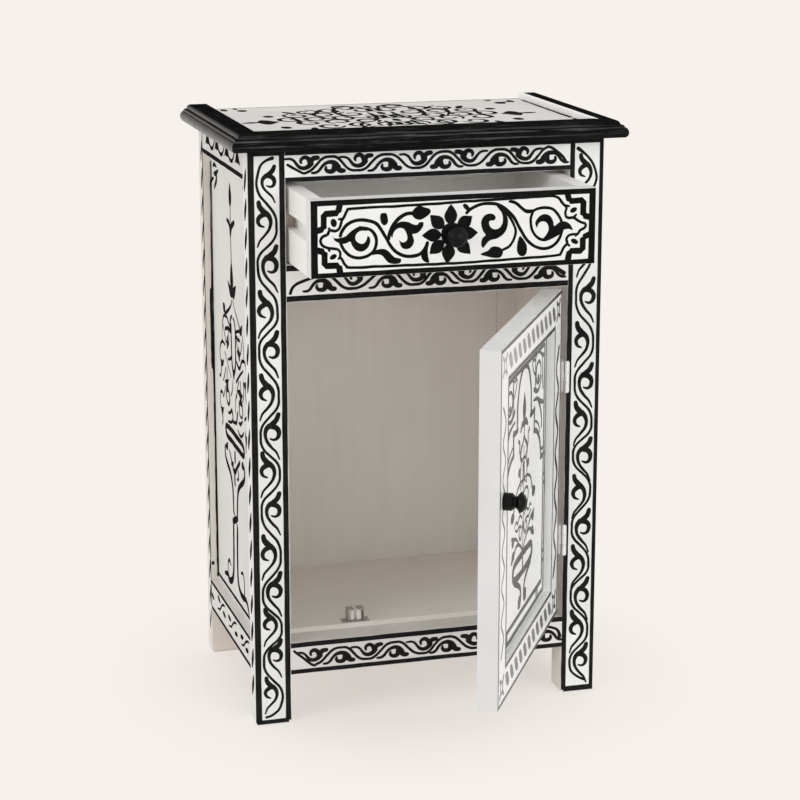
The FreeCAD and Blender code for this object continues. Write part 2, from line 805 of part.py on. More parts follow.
def knob(name):
    """A knob turned about +Y from its seat at the origin, with a blind hole for its screw."""
    body = doc.addObject("PartDesign::Body", name)
    profile = sketch_on(body, f"{name}_profile", "XY_Plane")
    hole = s.knob_screw_radius + s.screw_fit
    taper_end = s.knob_base_length + s.knob_taper_length
    cove_end = taper_end + s.knob_cove_length
    rim = cove_end + s.knob_flare_length
    dome = s.knob_dome_height
    dome_radius = (s.knob_head_radius * s.knob_head_radius + dome * dome) / (dome * 2)
    outline(profile, [
        (hole, 0),
        (s.knob_base_radius, 0),
        (s.knob_base_radius, s.knob_base_length),
        (s.knob_waist_radius, taper_end),
        (s.knob_waist_radius, cove_end, s.knob_cove_radius, -1),
        (s.knob_head_radius, rim),
        (0, rim + dome, dome_radius, 1),
        (0, s.knob_screw_depth),
        (hole, s.knob_screw_depth),
    ])
    lathe = body.newObject("PartDesign::Revolution", f"{name}_turned")
    lathe.Profile = profile
    lathe.ReferenceAxis = (profile, ["V_Axis"])
    lathe.Angle = 360
    body.Tip = lathe
    return body


def knob_screw(name, x, y_back, z, wood):
    """A pan-head screw from the back of the wood into the knob, driven along -Y."""
    head_base = (x, y_back + s.knob_screw_head_height, z)
    pan = cylinder(f"{name}_pan", head_base, "-y", s.knob_screw_head_radius, s.knob_screw_head_height)
    length = wood + s.knob_screw_depth - s.screw_fit
    shank = cylinder(f"{name}_shank", (x, y_back, z), "-y", s.knob_screw_radius, length)
    return fuse(name, [pan, shank])


def knob_hole(name, x, y_back, z, wood):
    return cylinder(name, (x, y_back, z), "-y", s.knob_screw_radius + s.screw_fit, wood)


# Drawer, which hangs on two runners by the grooves in its sides

drawer_face = front - s.drawer_pull
drawer_inside = drawer_face + s.drawer_front_thickness
drawer_end = drawer_face + s.drawer_length
drawer_half = opening_half - s.drawer_gap_side
drawer_inner = drawer_half - s.drawer_side_thickness
drawer_floor = drawer_low + s.drawer_gap_below
drawer_rim = drawer_high - s.drawer_gap_above
drawer_zs = (drawer_floor, drawer_rim)
bottom_low = drawer_floor + s.drawer_bottom_rise
bottom_top = bottom_low + s.drawer_bottom_thickness
bottom_slot = grown(bottom_low, bottom_top, s.glue_gap)
slot_half = drawer_inner + s.groove_depth
runner_middle = drawer_floor + s.runner_rise
runner_zs = grown(runner_middle, runner_middle, s.runner_height / 2)
runner_tip = drawer_half - s.runner_groove_depth + s.running_clearance
drawer_knob_x = -s.drawer_knob_aside
drawer_knob_z = (drawer_floor + drawer_rim) / 2 - s.drawer_knob_drop

blank = box("drawer_front_blank", (-drawer_half, drawer_half), (drawer_face, drawer_inside), drawer_zs)
front_slot_ys = (drawer_inside - s.groove_depth, drawer_inside)
slot = box("drawer_front_slot", (-slot_half, slot_half), front_slot_ys, bottom_slot)
hole = knob_hole("drawer_knob_hole", drawer_knob_x, drawer_inside, drawer_knob_z, s.drawer_front_thickness)
node("drawer_front", cut("drawer_face_board", blank, [slot, hole]))

for word, side in SIDES.items():
    side_ys = (drawer_inside, drawer_end)
    blank = box(f"drawer_{word}_blank", mirrored(side, drawer_inner, drawer_half), side_ys, drawer_zs)
    groove_xs = mirrored(side, drawer_half - s.runner_groove_depth, drawer_half)
    groove_zs = grown(runner_zs[0], runner_zs[1], s.running_clearance)
    groove = box(f"drawer_{word}_groove", groove_xs, side_ys, groove_zs)
    slot = box(f"drawer_{word}_slot", mirrored(side, drawer_inner, slot_half), side_ys, bottom_slot)
    node(f"drawer_side_{word}", cut(f"drawer_{word}_side", blank, [groove, slot]))

    xs = mirrored(side, runner_tip, opening_half)
    runner_start = front + s.drawer_front_thickness + s.runner_end_gap
    node(f"drawer_runner_{word}", box(f"runner_{word}", xs, (runner_start, back_panel_front), runner_zs))

back_board_ys = (drawer_end - s.drawer_back_thickness, drawer_end)
back_board_zs = (bottom_top + s.glue_gap, drawer_rim - s.drawer_back_drop)
node("drawer_back", box("drawer_back_board", (-drawer_inner, drawer_inner), back_board_ys, back_board_zs))

tongue_half = drawer_inner + s.panel_tongue
bottom_ys = (drawer_inside - s.panel_tongue, drawer_end)
node("drawer_bottom", box("drawer_base", (-tongue_half, tongue_half), bottom_ys, (bottom_low, bottom_top)))

drawer_knob = knob("knob_drawer")
turn(drawer_knob, 180)
move(drawer_knob, drawer_knob_x, drawer_face, drawer_knob_z)
node("drawer_knob", drawer_knob)
node("drawer_knob_screw", knob_screw(
    "screw_drawer_knob", drawer_knob_x, drawer_inside, drawer_knob_z, s.drawer_front_thickness,
))


# Door, drawn closed about its hinge pin and then swung open

door_edge = -s.hinge_gap / 2
door_width = opening_half * 2 - s.hinge_gap - s.door_gap_free
door_far = door_edge - door_width
face_y = s.hinge_pin_forward + s.door_setback
door_ys = (face_y, face_y + s.door_thickness)
door_zs = (door_bottom, door_top)
door_middle_y = face_y + s.door_thickness / 2
hinge_stile_xs = (door_edge - s.stile_width, door_edge)
free_stile_xs = (door_far, door_far + s.stile_width)
door_inner_xs = (free_stile_xs[1], hinge_stile_xs[0])
DOOR_BANDS = {
    "top": (door_top - s.door_rail_height, door_top),
    "bottom": (door_bottom, door_bottom + s.door_rail_height),
}
door_inner_zs = (DOOR_BANDS["bottom"][1], DOOR_BANDS["top"][0])
door_panel_ys = (face_y + s.door_panel_recess, face_y + s.door_panel_recess + s.panel_thickness)
door_groove_ys = grown(*door_panel_ys, s.glue_gap)
door_tenon_ys = grown(door_middle_y, door_middle_y, half_tenon)
door_mortise_ys = grown(door_middle_y, door_middle_y, half_mortise)


def swung_point(x, y):
    """Where a point of the closed door is once the door stands open."""
    reach_x = cosine(s.door_open) * x - sine(s.door_open) * y
    reach_y = sine(s.door_open) * x + cosine(s.door_open) * y
    return pin_x + reach_x, pin_y + reach_y


def swing(item):
    """Swing a finished piece of the closed door open, about the hinge pin."""
    turn(item, s.door_open)
    move(item, pin_x, pin_y, 0)
    return item


strike_x = catch_x - pin_x
strike_back = door_ys[1]
knob_x = (free_stile_xs[0] + free_stile_xs[1]) / 2
knob_z = (door_bottom + door_top) / 2 + s.door_knob_rise

# Door side of the hinges
door_leaf_xs = (door_edge, door_edge + s.leaf_thickness)
hinge_stile_holes = []
door_screws = []
for place, middle in HINGES.items():
    lower, centre, upper = knuckle_bands(middle)
    leaf = hinge_leaf(
        f"door_leaf_{place}", as_size(0), as_size(0), door_leaf_xs, middle,
        [centre], [lower, upper], door_leaf_xs[1], "-x",
    )
    node(f"hinge_{place}_door_leaf", swing(leaf))
    for number, height in enumerate(leaf_screw_heights(middle)):
        head = (door_leaf_xs[1], s.hinge_pin_forward + s.leaf_screw_setback, height)
        name = f"door_screw_{place}{number}"
        fastener, seat = screw(name, head, "-x", s.leaf_thickness)
        door_screws.append(fastener)
        hinge_stile_holes.append(screw_pilot(f"{name}_pilot", seat, "-x"))
node("hinge_door_screws", swing(group("door_screws", door_screws)), solids=len(door_screws))

# Strike with its tongue, on the back of the bottom rail
strike_xs = grown(strike_x, strike_x, s.strike_width / 2)
strike_zs = grown(roller_middle, roller_middle, s.strike_height / 2)
strike_ys = (strike_back, strike_back + s.strike_plate)
plate = box("strike_base", strike_xs, strike_ys, strike_zs)
tongue_end = catch_y - pin_y + s.tongue_past_rollers
tongue = box(
    "strike_tongue", grown(strike_x, strike_x, s.tongue_thickness / 2),
    (strike_back, tongue_end), grown(roller_middle, roller_middle, s.tongue_height / 2),
)
strike_sinks = []
strike_screws = []
bottom_rail_holes = []
for word, side in SIDES.items():
    head = (strike_x + s.strike_screw_spacing / 2 * side, strike_ys[1], roller_middle)
    name = f"strike_screw_{word}"
    fastener, seat = screw(name, head, "-y", s.strike_plate)
    strike_screws.append(fastener)
    strike_sinks.append(screw_sink(f"{name}_sink", head, "-y", s.strike_plate))
    bottom_rail_holes.append(screw_pilot(f"{name}_pilot", seat, "-y"))
node("strike_plate", swing(cut("strike", fuse("strike_bent", [plate, tongue]), strike_sinks)))
node("strike_screws", swing(group("strike_screw_pair", strike_screws)), solids=len(strike_screws))

# Stiles, rails and panel
stile_groove_zs = grown(*door_inner_zs, s.groove_depth)
free_holes = [knob_hole("door_knob_hole", knob_x, door_ys[1], knob_z, s.door_thickness)]
for word, xs, mortise_xs, groove_xs, holes in (
    (
        "free", free_stile_xs,
        (free_stile_xs[1] - s.tenon_length - s.glue_gap, free_stile_xs[1]),
        (free_stile_xs[1] - s.groove_depth, free_stile_xs[1]), free_holes,
    ),
    (
        "hinge", hinge_stile_xs,
        (hinge_stile_xs[0], hinge_stile_xs[0] + s.tenon_length + s.glue_gap),
        (hinge_stile_xs[0], hinge_stile_xs[0] + s.groove_depth), hinge_stile_holes,
    ),
):
    tools = [box(f"stile_{word}_groove", groove_xs, door_groove_ys, stile_groove_zs)]
    for spot, band in DOOR_BANDS.items():
        zs = mortise_band(band)
        tools.append(box(f"stile_{word}_mortise_{spot}", mortise_xs, door_mortise_ys, zs))
    blank = box(f"stile_{word}_blank", xs, door_ys, door_zs)
    node(f"door_stile_{word}", swing(cut(f"stile_{word}", blank, tools + holes)))

for spot, band, groove_zs, holes in (
    ("top", DOOR_BANDS["top"], (door_inner_zs[1], door_inner_zs[1] + s.groove_depth), []),
    ("bottom", DOOR_BANDS["bottom"], (door_inner_zs[0] - s.groove_depth, door_inner_zs[0]), bottom_rail_holes),
):
    body = box(f"door_{spot}_body", door_inner_xs, door_ys, band)
    bar = box(f"door_{spot}_tenons", grown(*door_inner_xs, s.tenon_length), door_tenon_ys, tenon_band(band))
    rail = fuse(f"door_{spot}_joined", [body, bar])
    slot = box(f"door_{spot}_groove", door_inner_xs, door_groove_ys, groove_zs)
    node(f"door_rail_{spot}", swing(cut(f"door_{spot}_rail", rail, [slot] + holes)))

panel_xs = grown(*door_inner_xs, s.panel_tongue)
panel = box("door_panel_board", panel_xs, door_panel_ys, grown(*door_inner_zs, s.panel_tongue))
turn(panel, s.door_open)
move(panel, *swung_point(panel_xs[0], door_panel_ys[0]), door_inner_zs[0] - s.panel_tongue)
node("door_panel", panel)

door_knob = knob("knob_door")
turn(door_knob, s.door_open + 180)
move(door_knob, *swung_point(knob_x, face_y), knob_z)
node("door_knob", door_knob)
screw_piece = knob_screw("screw_door_knob", knob_x, door_ys[1], knob_z, s.door_thickness)
node("door_knob_screw", swing(screw_piece))


# Check every object, then write each sub-part

doc.recompute()
for item in doc.Objects:
    if "Invalid" in item.State or "Error" in item.State:
        raise RuntimeError(f"{item.Label} failed: {item.State}")
for label, (item, solids) in nodes.items():
    shape = item.Shape
    if shape.isNull() or not shape.isValid():
        raise RuntimeError(f"{label}: the shape is empty or invalid")
    if len(shape.Solids) != solids:
        raise RuntimeError(f"{label}: {len(shape.Solids)} solids, expected {solids}")

os.makedirs("parts", exist_ok=True)
for label, (item, solids) in nodes.items():
    item.Shape.exportStep(f"parts/{label}.step")
print(f"{len(nodes)} sub-parts written")
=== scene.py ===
"""Painted nightstand: paint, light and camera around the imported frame.

Every painted shape is a thin closed film of paint on the face that carries it. Shapes are given in
millimetres on their own flat face, across and up, and are joined into one film per face.
"""
import json
import math

import bpy
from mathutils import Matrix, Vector, noise
from mathutils.geometry import delaunay_2d_cdt


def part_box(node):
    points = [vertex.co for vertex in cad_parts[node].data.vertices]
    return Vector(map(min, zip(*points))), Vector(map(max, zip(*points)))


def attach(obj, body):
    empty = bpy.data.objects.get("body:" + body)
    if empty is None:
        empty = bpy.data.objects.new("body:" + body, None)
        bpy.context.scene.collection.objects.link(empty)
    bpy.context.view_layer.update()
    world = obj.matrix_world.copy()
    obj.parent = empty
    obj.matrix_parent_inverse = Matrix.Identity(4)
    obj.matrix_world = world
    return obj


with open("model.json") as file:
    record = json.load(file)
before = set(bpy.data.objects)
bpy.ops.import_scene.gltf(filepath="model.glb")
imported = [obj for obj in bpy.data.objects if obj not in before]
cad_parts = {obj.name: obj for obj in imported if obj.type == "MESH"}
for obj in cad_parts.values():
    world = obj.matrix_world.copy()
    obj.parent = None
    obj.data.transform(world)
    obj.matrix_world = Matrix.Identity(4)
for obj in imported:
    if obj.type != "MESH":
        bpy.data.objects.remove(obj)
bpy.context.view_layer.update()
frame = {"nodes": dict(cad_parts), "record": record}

MM, PER_METRE = 0.001, 1000
ACROSS, UP, FORWARD = (1, 0, 0), (0, 0, 1), (0, -1, 0)
SIDES = (("left", -1), ("right", 1))
FILM, FILM_ROOT = 0.12, -0.2
HAND_SHAKE, SHAKE_SCALE = 0.28, 0.07
BRUSH_PRESS, PRESS_SCALE = 0.12, 0.11
BAND_WAVER, WAVER_SCALE, BAND_STEP = 0.35, 0.05, 9
SAMPLE_STEP = 2.4
OVAL_SIDES, RING_POINTS = 20, 12
CAP_SIDES, LEAST_CAP = 8, 0.3
LEAST_AREA = 0.02
JOIN_GAP = 0.004
CELL = 8.0
NOISE_SEED = 5
noise.seed_set(NOISE_SEED)


def linked(name, data):
    """A new object in the scene."""
    piece = bpy.data.objects.new(name, data)
    bpy.context.collection.objects.link(piece)
    return piece


# Drawing on a flat face

def pts(text):
    """Points, or other rows of numbers, written as "x,y x,y"."""
    return [tuple(map(float, point.split(","))) for point in text.split()]


def shapes(text):
    """The points of several shapes, which semicolons part."""
    return [pts(shape) for shape in text.split(";")]


def shift(across=0, up=0, side=1):
    """A move of a point; side -1 mirrors it first."""
    return lambda x, y: (across + side * x, up + y)


AS_GIVEN = (shift(),)


def bearing(degrees):
    return math.cos(math.radians(degrees)), math.sin(math.radians(degrees))


def circle(x, y, wide, high, sides):
    turns = [2 * math.pi * side / sides for side in range(sides)]
    return [(x + wide * math.cos(turn), y + high * math.sin(turn)) for turn in turns]


def smooth(points, closed=False):
    """Points along a smooth curve through the given ones, about SAMPLE_STEP apart, with places."""
    count = len(points)
    made = []
    last = count if closed else count - 1
    for number in range(last):
        near = range(number - 1, number + 3)
        p0, p1, p2, p3 = (
            Vector(points[at % count if closed else min(max(at, 0), count - 1)]) for at in near
        )
        steps = max(2, math.ceil((p2 - p1).length / SAMPLE_STEP))
        for step in range(steps):
            t = step / steps
            point = 0.5 * (
                2 * p1 + (p2 - p0) * t
                + (2 * p0 - 5 * p1 + 4 * p2 - p3) * t**2
                + (3 * p1 - p0 - 3 * p2 + p3) * t**3
            )
            made.append((point, number + t))
    if not closed:
        made.append((Vector(points[-1]), float(last)))
    return made


def hull(points):
    """Convex outline of a few points, counter-clockwise."""
    points = sorted(set((round(p[0], 5), round(p[1], 5)) for p in points))

    def chain(ordered):
        kept = []
        for p in ordered:
            while len(kept) > 1:
                (ax, ay), (bx, by) = kept[-2:]
                if (bx - ax) * (p[1] - ay) - (by - ay) * (p[0] - ax) > 1e-9:
                    break
                kept.pop()
            kept.append(p)
        return kept[:-1]

    return chain(points) + chain(points[::-1])


def ringed(corners):
    """Each corner with the next one round."""
    return zip(corners, corners[1:] + corners[:1])


def area(polygon):
    return 0.5 * sum(a[0] * b[1] - b[0] * a[1] for a, b in ringed(polygon))


def inside(polygon, x, y):
    """Whether a point lies in a polygon, by how often the outline winds round it."""
    winds = 0
    for (ax, ay), (bx, by) in ringed(polygon):
        if (ay <= y) != (by <= y):
            turn = (bx - ax) * (y - ay) - (by - ay) * (x - ax)
            if (by > ay) == (turn > 0):
                winds += 1 if by > ay else -1
    return winds != 0


def covered(cells, triangle):
    x, y = (sum(corner[axis] for corner in triangle) / 3 for axis in (0, 1))
    cell = (math.floor(x / CELL), math.floor(y / CELL))
    return any(inside(polygon, x, y) for polygon in cells.get(cell, ()))


class Ink:
    """Paint on one flat face: collects shapes, then becomes one closed film.

    limits, as lowest and highest across and up, keep the shapes on the face."""

    made = []
    SEED_STEP = 7.3

    def __init__(self, name, body, origin, across, up, out, limits=None):
        self.name, self.body, self.limits = name, body, limits
        self.origin, self.across, self.up, self.out = map(Vector, (origin, across, up, out))
        self.polygons = []
        Ink.made.append(self)
        self.seed = self.SEED_STEP * len(Ink.made)

    def shaken(self, point):
        """A point moved a little, as a hand-held brush does."""
        place = Vector((point[0] * SHAKE_SCALE, point[1] * SHAKE_SCALE, self.seed))
        sways = noise.noise(place), noise.noise(place + Vector((31.7, 11.3, 5.1)))
        return Vector([at + HAND_SHAKE * sway * 2 for at, sway in zip(point, sways)])

    def add(self, polygon):
        polygon = [(p[0], p[1]) for p in polygon]
        if self.limits:
            x0, x1, y0, y1 = self.limits
            polygon = [(min(max(x, x0), x1), min(max(y, y0), y1)) for x, y in polygon]
        if abs(area(polygon)) > LEAST_AREA:
            self.polygons.append(polygon if area(polygon) > 0 else polygon[::-1])

    def brush(self, points, widths, closed=False):
        """A brush stroke along a curve, with a width for each point."""
        line = smooth(points, closed)
        if closed:
            widths = [*widths, widths[0]]
            line.append((line[0][0], float(len(points))))
        places = [self.shaken(point) for point, _ in line]
        halves = []
        for (_, at), place in zip(line, places):
            low = min(int(at), len(widths) - 2)
            width = widths[low] + (widths[low + 1] - widths[low]) * (at - low)
            where = Vector((place.x * PRESS_SCALE, place.y * PRESS_SCALE, self.seed + 50))
            halves.append(0.5 * width * (1 + BRUSH_PRESS * noise.noise(where)))
        sides = []
        last = len(places) - 1
        for number, place in enumerate(places):
            if closed:
                ahead = places[(number + 1) % last] - places[number - 1 if number else -2]
            else:
                ahead = places[min(number + 1, last)] - places[max(number - 1, 0)]
            ahead.normalize()
            aside = Vector((-ahead.y, ahead.x)) * halves[number]
            sides.append((place + aside, place - aside))
        for near, far in zip(sides, sides[1:]):
            self.add(hull([*near, *far]))
        for end in () if closed else (0, -1):
            if halves[end] > LEAST_CAP:
                self.add(circle(*places[end], halves[end], halves[end], CAP_SIDES))

    def paint(self, text, *moves, gain=1.0, closed=False):
        """Strokes of points "x,y,width", or "x,y" to keep the last width, each once for every move."""
        for shape in shapes(text):
            widths = []
            for point in shape:
                widths.append(point[2] * gain if len(point) > 2 else widths[-1])
            for move in moves or AS_GIVEN:
                self.brush([move(*point[:2]) for point in shape], widths, closed)

    def fill(self, points):
        """A filled leaf or drop with a smooth outline; a doubled point makes a sharp corner."""
        self.add([self.shaken(point) for point, _ in smooth(points, closed=True)])

    def leaves(self, text, *moves):
        """Filled shapes, each once for every move."""
        for shape in shapes(text):
            for move in moves or AS_GIVEN:
                self.fill([move(*point) for point in shape])

    def oval(self, x, y, wide, high, tilt=0.0):
        cos, sin = bearing(tilt)
        ring = circle(0, 0, wide, high, OVAL_SIDES)
        self.add([self.shaken((x + a * cos - b * sin, y + a * sin + b * cos)) for a, b in ring])

    def ovals(self, text):
        for row in pts(text):
            self.oval(*row)

    def ring(self, x, y, wide, high, width):
        self.brush(circle(x, y, wide, high, RING_POINTS), [width] * RING_POINTS, closed=True)

    def band(self, start, end, width):
        """A straight painted border with slightly uneven edges."""
        start, end = Vector(start), Vector(end)
        ahead = (end - start).normalized()
        aside = Vector((-ahead.y, ahead.x))
        steps = max(1, round((end - start).length / BAND_STEP))
        edges = []
        for sign in (1, -1):
            edge = []
            for step in range(steps + 1):
                place = start.lerp(end, step / steps)
                where = Vector((place.x * WAVER_SCALE, place.y * WAVER_SCALE, self.seed + 90 * sign))
                edge.append(place + aside * sign * (width / 2 + BAND_WAVER * noise.noise(where)))
            edges.append(edge)
        self.add(edges[0] + edges[1][::-1])

    def level(self, x0, x1, bands):
        """Borders from x0 to x1, each given as its height and width."""
        for y, width in bands:
            self.band((x0, y), (x1, y), width)

    def upright(self, y0, y1, bands):
        """Borders from y0 to y1, each given as its place across and width."""
        for x, width in bands:
            self.band((x, y0), (x, y1), width)

    def block(self, x0, x1, y0, y1):
        self.add([(x0, y0), (x1, y0), (x1, y1), (x0, y1)])

    def cells(self):
        """The polygons by the squares of a coarse grid that they touch."""
        cells = {}
        for polygon in self.polygons:
            columns, rows = (
                range(math.floor(min(along) / CELL), math.floor(max(along) / CELL) + 1)
                for along in zip(*polygon)
            )
            for column in columns:
                for row in rows:
                    cells.setdefault((column, row), []).append(polygon)
        return cells

    def build(self, material, slot):
        """Join the shapes into one film of paint that stands on the face."""
        flat, edges = [], []
        for polygon in self.polygons:
            edges += ringed(list(range(len(flat), len(flat) + len(polygon))))
            flat += [Vector(p) for p in polygon]
        points, _, triangles, _, _, _ = delaunay_2d_cdt(flat, edges, [], 1, JOIN_GAP)
        cells = self.cells()
        inked = [triangle for triangle in triangles if covered(cells, [points[i] for i in triangle])]
        used = sorted({corner for triangle in inked for corner in triangle})
        index = {corner: number for number, corner in enumerate(used)}
        inked = [[index[corner] for corner in triangle] for triangle in inked]
        count = len(used)
        vertices = []
        for height in (FILM, FILM_ROOT):
            for corner in used:
                x, y = points[corner]
                vertices.append((self.origin + self.across * x + self.up * y + self.out * height) * MM)
        runs = dict.fromkeys(run for triangle in inked for run in ringed(triangle))
        faces = inked + [[corner + count for corner in reversed(triangle)] for triangle in inked]
        faces += [[b, a, a + count, b + count] for a, b in runs if (b, a) not in runs]
        if self.across.cross(self.up).dot(self.out) <= 0:
            faces = [face[::-1] for face in faces]
        mesh = bpy.data.meshes.new(self.name)
        mesh.from_pydata(vertices, [], faces)
        mesh.update()
        mesh.materials.append(material)
        piece = linked(self.name, mesh)
        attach(piece, self.body)


# The running vine of the posts and rails: a wavy line with a curled leaf in each bend.
# Leaf strokes are given away from the line and along it, from the middle of the bend.

POST_LEFT_LEAF = """
10.4,-30,1.8 7,-22,2.8 1.6,-15.8,3.2 -3.2,-9,3.5 -5,-2,4 -4,4,5 -.6,8.3,6;
-.6,7.4,6.2 3.8,10.6,6.6 7.8,14.8,6 9.8,20.4,5.2;
1.4,8,6.2 7,5.8,5.8 10,.8,5.2 8.8,-5.4,4.4 4.6,-7.6,3.2 .4,-6,1.8"""
POST_RIGHT_LEAF = """
10.6,-30,1.8 8.2,-23,2.6 2.9,-17.2,3 -2.3,-10.8,3.5 -4.4,-3.2,4.2 -2.6,3.8,5.2 1.4,8.4,6.2;
1,7,6.6 5.4,12 8,16,5.8 8.8,20.6,5;
3,7,6 8,3.8,5.4 10,-.6,4.6 8.2,-5.6,3.6 3.4,-8,1.8"""
RAIL_LOW_LEAF = """
6.9,-18,2.4 6.9,-12.5,2.9 4.9,-8.5,3 1,-5.5,3.4 -2.3,-2.5,4.2 -3.4,2,4.6 -1.8,6.5,5.2 1.5,10,5.8;
.4,8.5,5.6 4.4,10,5.8 6.9,12.5,5.6 7.4,17,4.8;
2.4,8.5,5.8 6.2,7,5.2 8.4,4,4.8 7.8,.6,4.4 5.2,-1.5,3.8 2.4,-1,2.6"""
RAIL_HIGH_LEAF = """
8.8,-20.5,2.4 8.6,-16,3.2 6.2,-12.5,3.4 2.1,-9.5,3.5 -1.2,-5.5,3.8 -2.4,0,4.6 -.7,5,5.6 3.6,8.5,6.6;
1.6,6,7 5.6,9,6.6 7.4,11.5,5.8 7.6,14.5,5;
.6,5,7 4.6,4.4,6.6 7.4,2.4,5.4 8.1,-.8,4.8 7.2,-4,4.4 4.8,-5.6,3.6 2.6,-5,2.4"""
WAVE_STEPS = 6


def ease(t):
    """From 0 to 1, slow at both ends, so that the line keeps to a bend before it crosses over."""
    return t**4 * (35 - 84 * t + 70 * t**2 - 20 * t**3)


def vine(
    ink, place, middle, swing, bends, lead_in, lead_out, width, low_leaf, high_leaf, turn_from=math.inf,
):
    """bends: (line, side, leaf, size): the line's place along the vine and its share of the swing to
    one side, then the leaf's place and size, 0 for none. place(along, across) gives a point on the
    face. Past turn_from the leaves face back."""
    bends = sorted(bends)
    line = [place(*point) for point in pts(lead_in)]
    for (start, side, _, _), (end, other, _, _) in zip(bends, bends[1:]):
        for t in (step / WAVE_STEPS for step in range(WAVE_STEPS)):
            line.append(place(start + (end - start) * t, middle + swing * (side + (other - side) * ease(t))))
    line.append(place(bends[-1][0], middle + swing * bends[-1][1]))
    line += [place(*point) for point in pts(lead_out)]
    ink.brush(line, [width] * (len(line) - 1) + [width * 1.5])
    for _, side, along, size in bends:
        facing = -1 if along > turn_from else 1
        away = math.copysign(1, -side)
        if size:
            ink.paint(low_leaf if side < 0 else high_leaf, lambda aside, up: place(
                along + facing * up * size, middle + away * aside * (0.5 + 0.5 * size),
            ), gain=0.4 + 0.6 * size)


# Case, front: borders and vines on posts and rails

FRONT, POST_TOP = -133.0, 648
POST_LINE = 2.9
POST_VINES = (
    (-181.6, 10.4, "8.5,-190 10.5,-183 17,-175.3", "630,-188.5 636.5,-182 639,-174.5", """
        616,-1,614.5,.77 524,-1,524,1 430,-1,430,1 334,-1,338,1 250,-1,250,.95 152,-1,157,1 76,-1,81,.87
        565,1,573,.95 471,1,475,1 378,1,383,1 291,1,296,1 196,1,201,1 112,1,119,.86 28,1,38,.84"""),
    (181.6, 10.6, "13,189.5 17.5,181.5 25.5,173.2", "618,188 628,180 636,170", """
        563,-1,565,0 468,-1,469,1 370,-1,371,1 286,-1,284,1 200,-1,199,1 119,-1,117,1 35,-1,38,.95
        606,1,611,.85 520,.65,522,1 416,1,419,1 322,1,327,1 243,1,241,1 155,1,157,1 74,1,78,1"""),
)
RAIL_BANDS = (615.2, 5.0), (644.6, 6.6), (485.9, 6.2), (519.4, 6.4), (59.3, 5.0), (90.6, 5.6)
# Middle, swing, line, where the leaves turn, lead-in, lead-out, and the low and the high bends
RAIL_VINES = (
    (630.2, 8.1, 3.0, 3, "-158,631", "152,628 155,622.5",
     (-142.5, -82.5, -16, 47, 110), (-111, -48.5, 16.5, 80, 138)),
    (502.0, 8.2, 3.4, 0, "-157,492 -150,502", "155.5,497", (-88, -17, 45, 107), (-122, -48, 12, 74, 137)),
    (74.6, 8.4, 3.1, 35, "-157,84", "155,78 158.5,69.5", (-137, -73, -8, 57, 113), (-103, -40, 22, 85, 142)),
)
front = Ink("ink_case_front", "case", (0, FRONT, 0), ACROSS, UP, FORWARD, (-200.11, 200.11, 0.5, 647.8))
for mirror, outer_edge, inner, inner_width in ((-1, 198.0, 164.6, 6.0), (1, 198.6, 163.9, 5.6)):
    front.upright(0.5, POST_TOP, [(mirror * outer_edge, 6.0)])
    front.upright(3, POST_TOP, [(mirror * inner, inner_width)])
    front.block(*sorted((mirror * 199.9, mirror * 161.2)), 641.5, 647.9)
front.level(-197, -164, [(3, 5.0)])
front.level(197, 164, [(3.8, 6.4)])
for middle, swing, lead_in, lead_out, bends in POST_VINES:
    vine(
        front, lambda along, across: (across, along), middle, swing, pts(bends), lead_in, lead_out,
        POST_LINE, POST_LEFT_LEAF, POST_RIGHT_LEAF,
    )
front.level(-161, 161, RAIL_BANDS)
for middle, swing, width, turn_from, lead_in, lead_out, lows, highs in RAIL_VINES:
    bends = [(along, side, along, 1.0) for side, places in ((-1, lows), (1, highs)) for along in places]
    vine(
        front, lambda along, across: (along, across), middle, swing, bends, lead_in, lead_out,
        width, RAIL_LOW_LEAF, RAIL_HIGH_LEAF, turn_from,
    )


# Drawer front

drawer_low, drawer_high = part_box("drawer_front")
drawer_middle = PER_METRE * (drawer_low.z + drawer_high.z) / 2
DRAWER_EDGE = 156.5
drawer = Ink(
    "ink_drawer", "drawer", (0, PER_METRE * drawer_low.y, drawer_middle), ACROSS, UP, FORWARD,
    (-DRAWER_EDGE, DRAWER_EDGE, -40.7, 40.7),
)
# Stepped corners, the two halves of the frame round the ornament, and its ticks
DRAWER_BORDER = """
-125,36,6.6 -127,27 -127,27 -142.5,27 -142.5,27 -142.5,11 -142.5,11 -151,9;
-125,-37,6.6 -127,-28 -127,-28 -142,-28 -142,-28 -142,-13 -142,-13 -151,-10.5;
124,37,6.6 127,28 127,28 142.5,28 142.5,28 142.5,12 142.5,12 151,9.5;
126,-37,6.6 128,-26 128,-26 142.5,-26 142.5,-26 142.5,-12 142.5,-12 151,-8.5;
0,32.6,3 -60,31.4 -112,31 -117.5,28.5 -120,24 -122,20.8 -123.5,19 -124.5,15 -126,11 -130,8.5 -136,9.5 -138,5.5
-141,4 -144,2.5 -146,-1.5 -144.5,-6 -141,-8 -138,-9 -132,-10 -127.5,-11 -125,-15 -125.5,-19 -123.5,-22
-121.5,-26 -118.5,-29 -113,-31 -60,-31.6 0,-32.4;
0,32.6,3 60,33.5 100,34.2 112,33 116,30 118.5,26.5 121,24 123.5,21 122,16 123,11.5 127,9.8 132,10 136.5,7
141,4.5 145,3.2 146,.5 144,-2 139,-4.5 136.5,-8 130,-8.2 126,-9.5 124,-13 125,-18 122,-21 120,-24.5 118,-28
112,-29.8 60,-31.5 0,-32.4;
-122,20.8,2.5 -126.5,20.5; -136,9,2.5 -136.8,11.5; -138,-9,2.5 -136.4,-12; -125.5,-19,2.5 -127,-21.2;
121,24,2.5 126.4,22.6; 132,10,2.5 134.6,12.8; 136.5,-8,2.5 134,-10; 125,-18,2.5 127.4,-20.4"""
